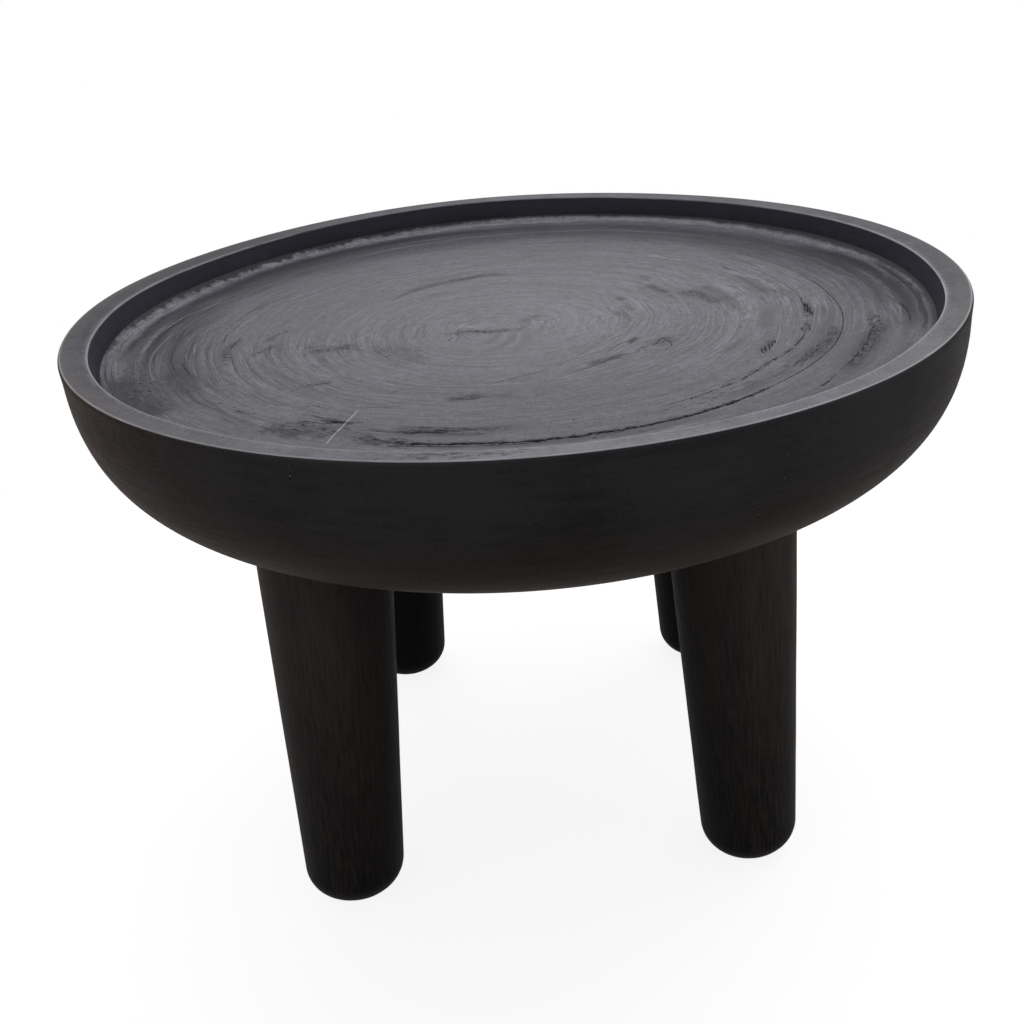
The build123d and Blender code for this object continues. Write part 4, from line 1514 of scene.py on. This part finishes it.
def plastic_material():
    """Fine-grained moulded black plastic."""
    material, tree = new_material("moulded_plastic")
    place = object_place(tree)
    wear = noise(place, 90, 4, 0.6)
    colour = blend(span(wear, -1, 1), grey(0.012), grey(0.03))
    finish_material(
        colour, span(wear, -1, 1, 0.4, 0.6), noise(place, 1800, 2, 0.5), 0.02 * MM, Specular_IOR_Level=0.5
    )
    return material


def felt_material():
    """Pressed grey-brown felt with short crossing fibres."""
    material, tree = new_material("pressed_felt")
    place = object_place(tree)
    fibres = noise(scaled(place, (1, 2.5, 1)), 900, 4, 0.7, 1.5)
    share = span(weighted((fibres, 0.6), (noise(place, 260, 3, 0.6), 0.4)), -1, 1)
    colour = blend(share, (0.035, 0.03, 0.028, 1), (0.22, 0.2, 0.18, 1))
    roughness = span(fibres, -1, 1, 0.85, 1.0)
    finish_material(colour, roughness, fibres, 0.15 * MM, Sheen_Weight=0.4, Specular_IOR_Level=0.2)
    return material


def dress_hidden_parts():
    """Materials for the small parts that keep the shapes they come with."""
    wood = streaked_material(
        "bare_hardwood", 0.06, (400, 5, 0.6), (0.36, 0.22, 0.11, 1), (0.58, 0.40, 0.23, 1), (0.55, 0.7),
        0.05 * MM, Specular_IOR_Level=0.4,
    )
    zinc = streaked_material(
        "zinc_plated_steel", 6, (700, 4, 0.6), (0.45, 0.44, 0.41, 1), (0.66, 0.65, 0.62, 1), (0.25, 0.45),
        0.01 * MM, Metallic=1.0,
    )
    plastic = plastic_material()
    finishes = {"tenon_wedge": wood, "glide_cup": plastic, "glide_felt": felt_material(), "glide_screw": zinc}
    for node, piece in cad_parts.items():
        for kind, finish in finishes.items():
            if node.startswith(kind):
                piece.data.materials.clear()
                piece.data.materials.append(finish)


# ------------------------------------------------------------------------------- stage
def seen_by_eye(tree):
    """1 for rays from the camera and for what gloss and glass show, 0 for the light on the object."""
    path = add(tree, "LightPath")
    seen = maths("MAXIMUM", path["Is Camera Ray"], path["Is Glossy Ray"])
    return maths("MAXIMUM", seen, path["Is Transmission Ray"])


def make_floor():
    """A pale floor that looks white, fading to plain white away from the object."""
    half = 9.0
    points = [(-half, -half, 0), (half, -half, 0), (half, half, 0), (-half, half, 0)]
    floor = new_piece("studio_floor", new_mesh("studio_floor", points, [(0, 1, 2, 3)]))
    material, tree = new_material("studio_floor")
    away = vectors("LENGTH", object_place(tree))
    far = span(away, *FLOOR_FADE)
    glow = span(far, 0, 1, FLOOR_GLOW, 1.0)
    glow = add(tree, "Emission", {"Color": (1, 1, 1, 1), "Strength": glow})[0]
    lit = add(tree, "BsdfDiffuse", {"Color": grey(FLOOR_BOUNCE)})[0]
    near_look = add(tree, "AddShader", {0: lit, 1: glow})[0]
    looks = add(tree, "MixShader", {0: far, 1: near_look, 2: glow})[0]
    both = add(tree, "MixShader", {0: seen_by_eye(tree), 1: lit, 2: looks})[0]
    add(tree, "OutputMaterial", {"Surface": both})
    floor.data.materials.append(material)
    floor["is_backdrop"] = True


def make_world(ambient):
    """A white surround to the eye that lights the object with a plain ambient level."""
    world = bpy.data.worlds.new("studio")
    bpy.context.scene.world = world
    world.use_nodes = True
    tree = world.node_tree
    tree.nodes.clear()
    strength = span(seen_by_eye(tree), 0, 1, ambient, 1.0)
    background = add(tree, "Background", {"Color": (1, 1, 1, 1), "Strength": strength})[0]
    add(tree, "OutputWorld", {"Surface": background})


def make_softbox(name, place, aim, size, brightness):
    """A soft lamp: brightness is what a mirror would show of it, 1 for white."""
    light = bpy.data.lights.new(name, "AREA")
    light.shape = "RECTANGLE"
    light.size, light.size_y = size
    light.energy = brightness * pi * size[0] * size[1]
    lamp = bpy.data.objects.new(name, light)
    bpy.context.scene.collection.objects.link(lamp)
    lamp.location = place
    lamp.rotation_euler = (Vector(aim) - Vector(place)).to_track_quat("-Z", "Y").to_euler()


def make_camera():
    camera = bpy.data.cameras.new("camera")
    camera.sensor_width = 36
    camera.lens = 41.161
    camera.shift_x = -0.088444
    camera.shift_y = 0.076004
    holder = bpy.data.objects.new("camera", camera)
    bpy.context.scene.collection.objects.link(holder)
    holder.location = (0.027617, -0.954282, 0.724490)
    holder.rotation_euler = Euler([radians(a) for a in (59.9380, 2.8638, -3.1588)], "XYZ")
    bpy.context.scene.camera = holder


# ---------------------------------------------------------------------------- assembly
leg_finish = leg_material()
leg_places = [make_leg(*leg, 100 * (number + 1), leg_finish) for number, leg in enumerate(LEGS)]
make_bowl(leg_places, tray_material(), side_material())
dress_hidden_parts()

make_floor()
make_world(0.25)
make_softbox("left", (-2.3, -1.2, 0.7), (0, 0, 0.3), (1.6, 1.2), 0.7)
make_softbox("right", (2.4, -1.0, 0.7), (0, 0, 0.3), (1.6, 1.2), 0.7)
make_softbox("overhead", (0.25, 0.9, 2.4), (0, 0.1, 0.4), (3.2, 2.6), 1.5)
make_camera()
bpy.context.scene.view_settings.view_transform = "Standard"

visual_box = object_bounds()
boxes = {"cad": cad_box, "visual": visual_box}
{k: [list(corner) for corner in box] for k, box in boxes.items()}
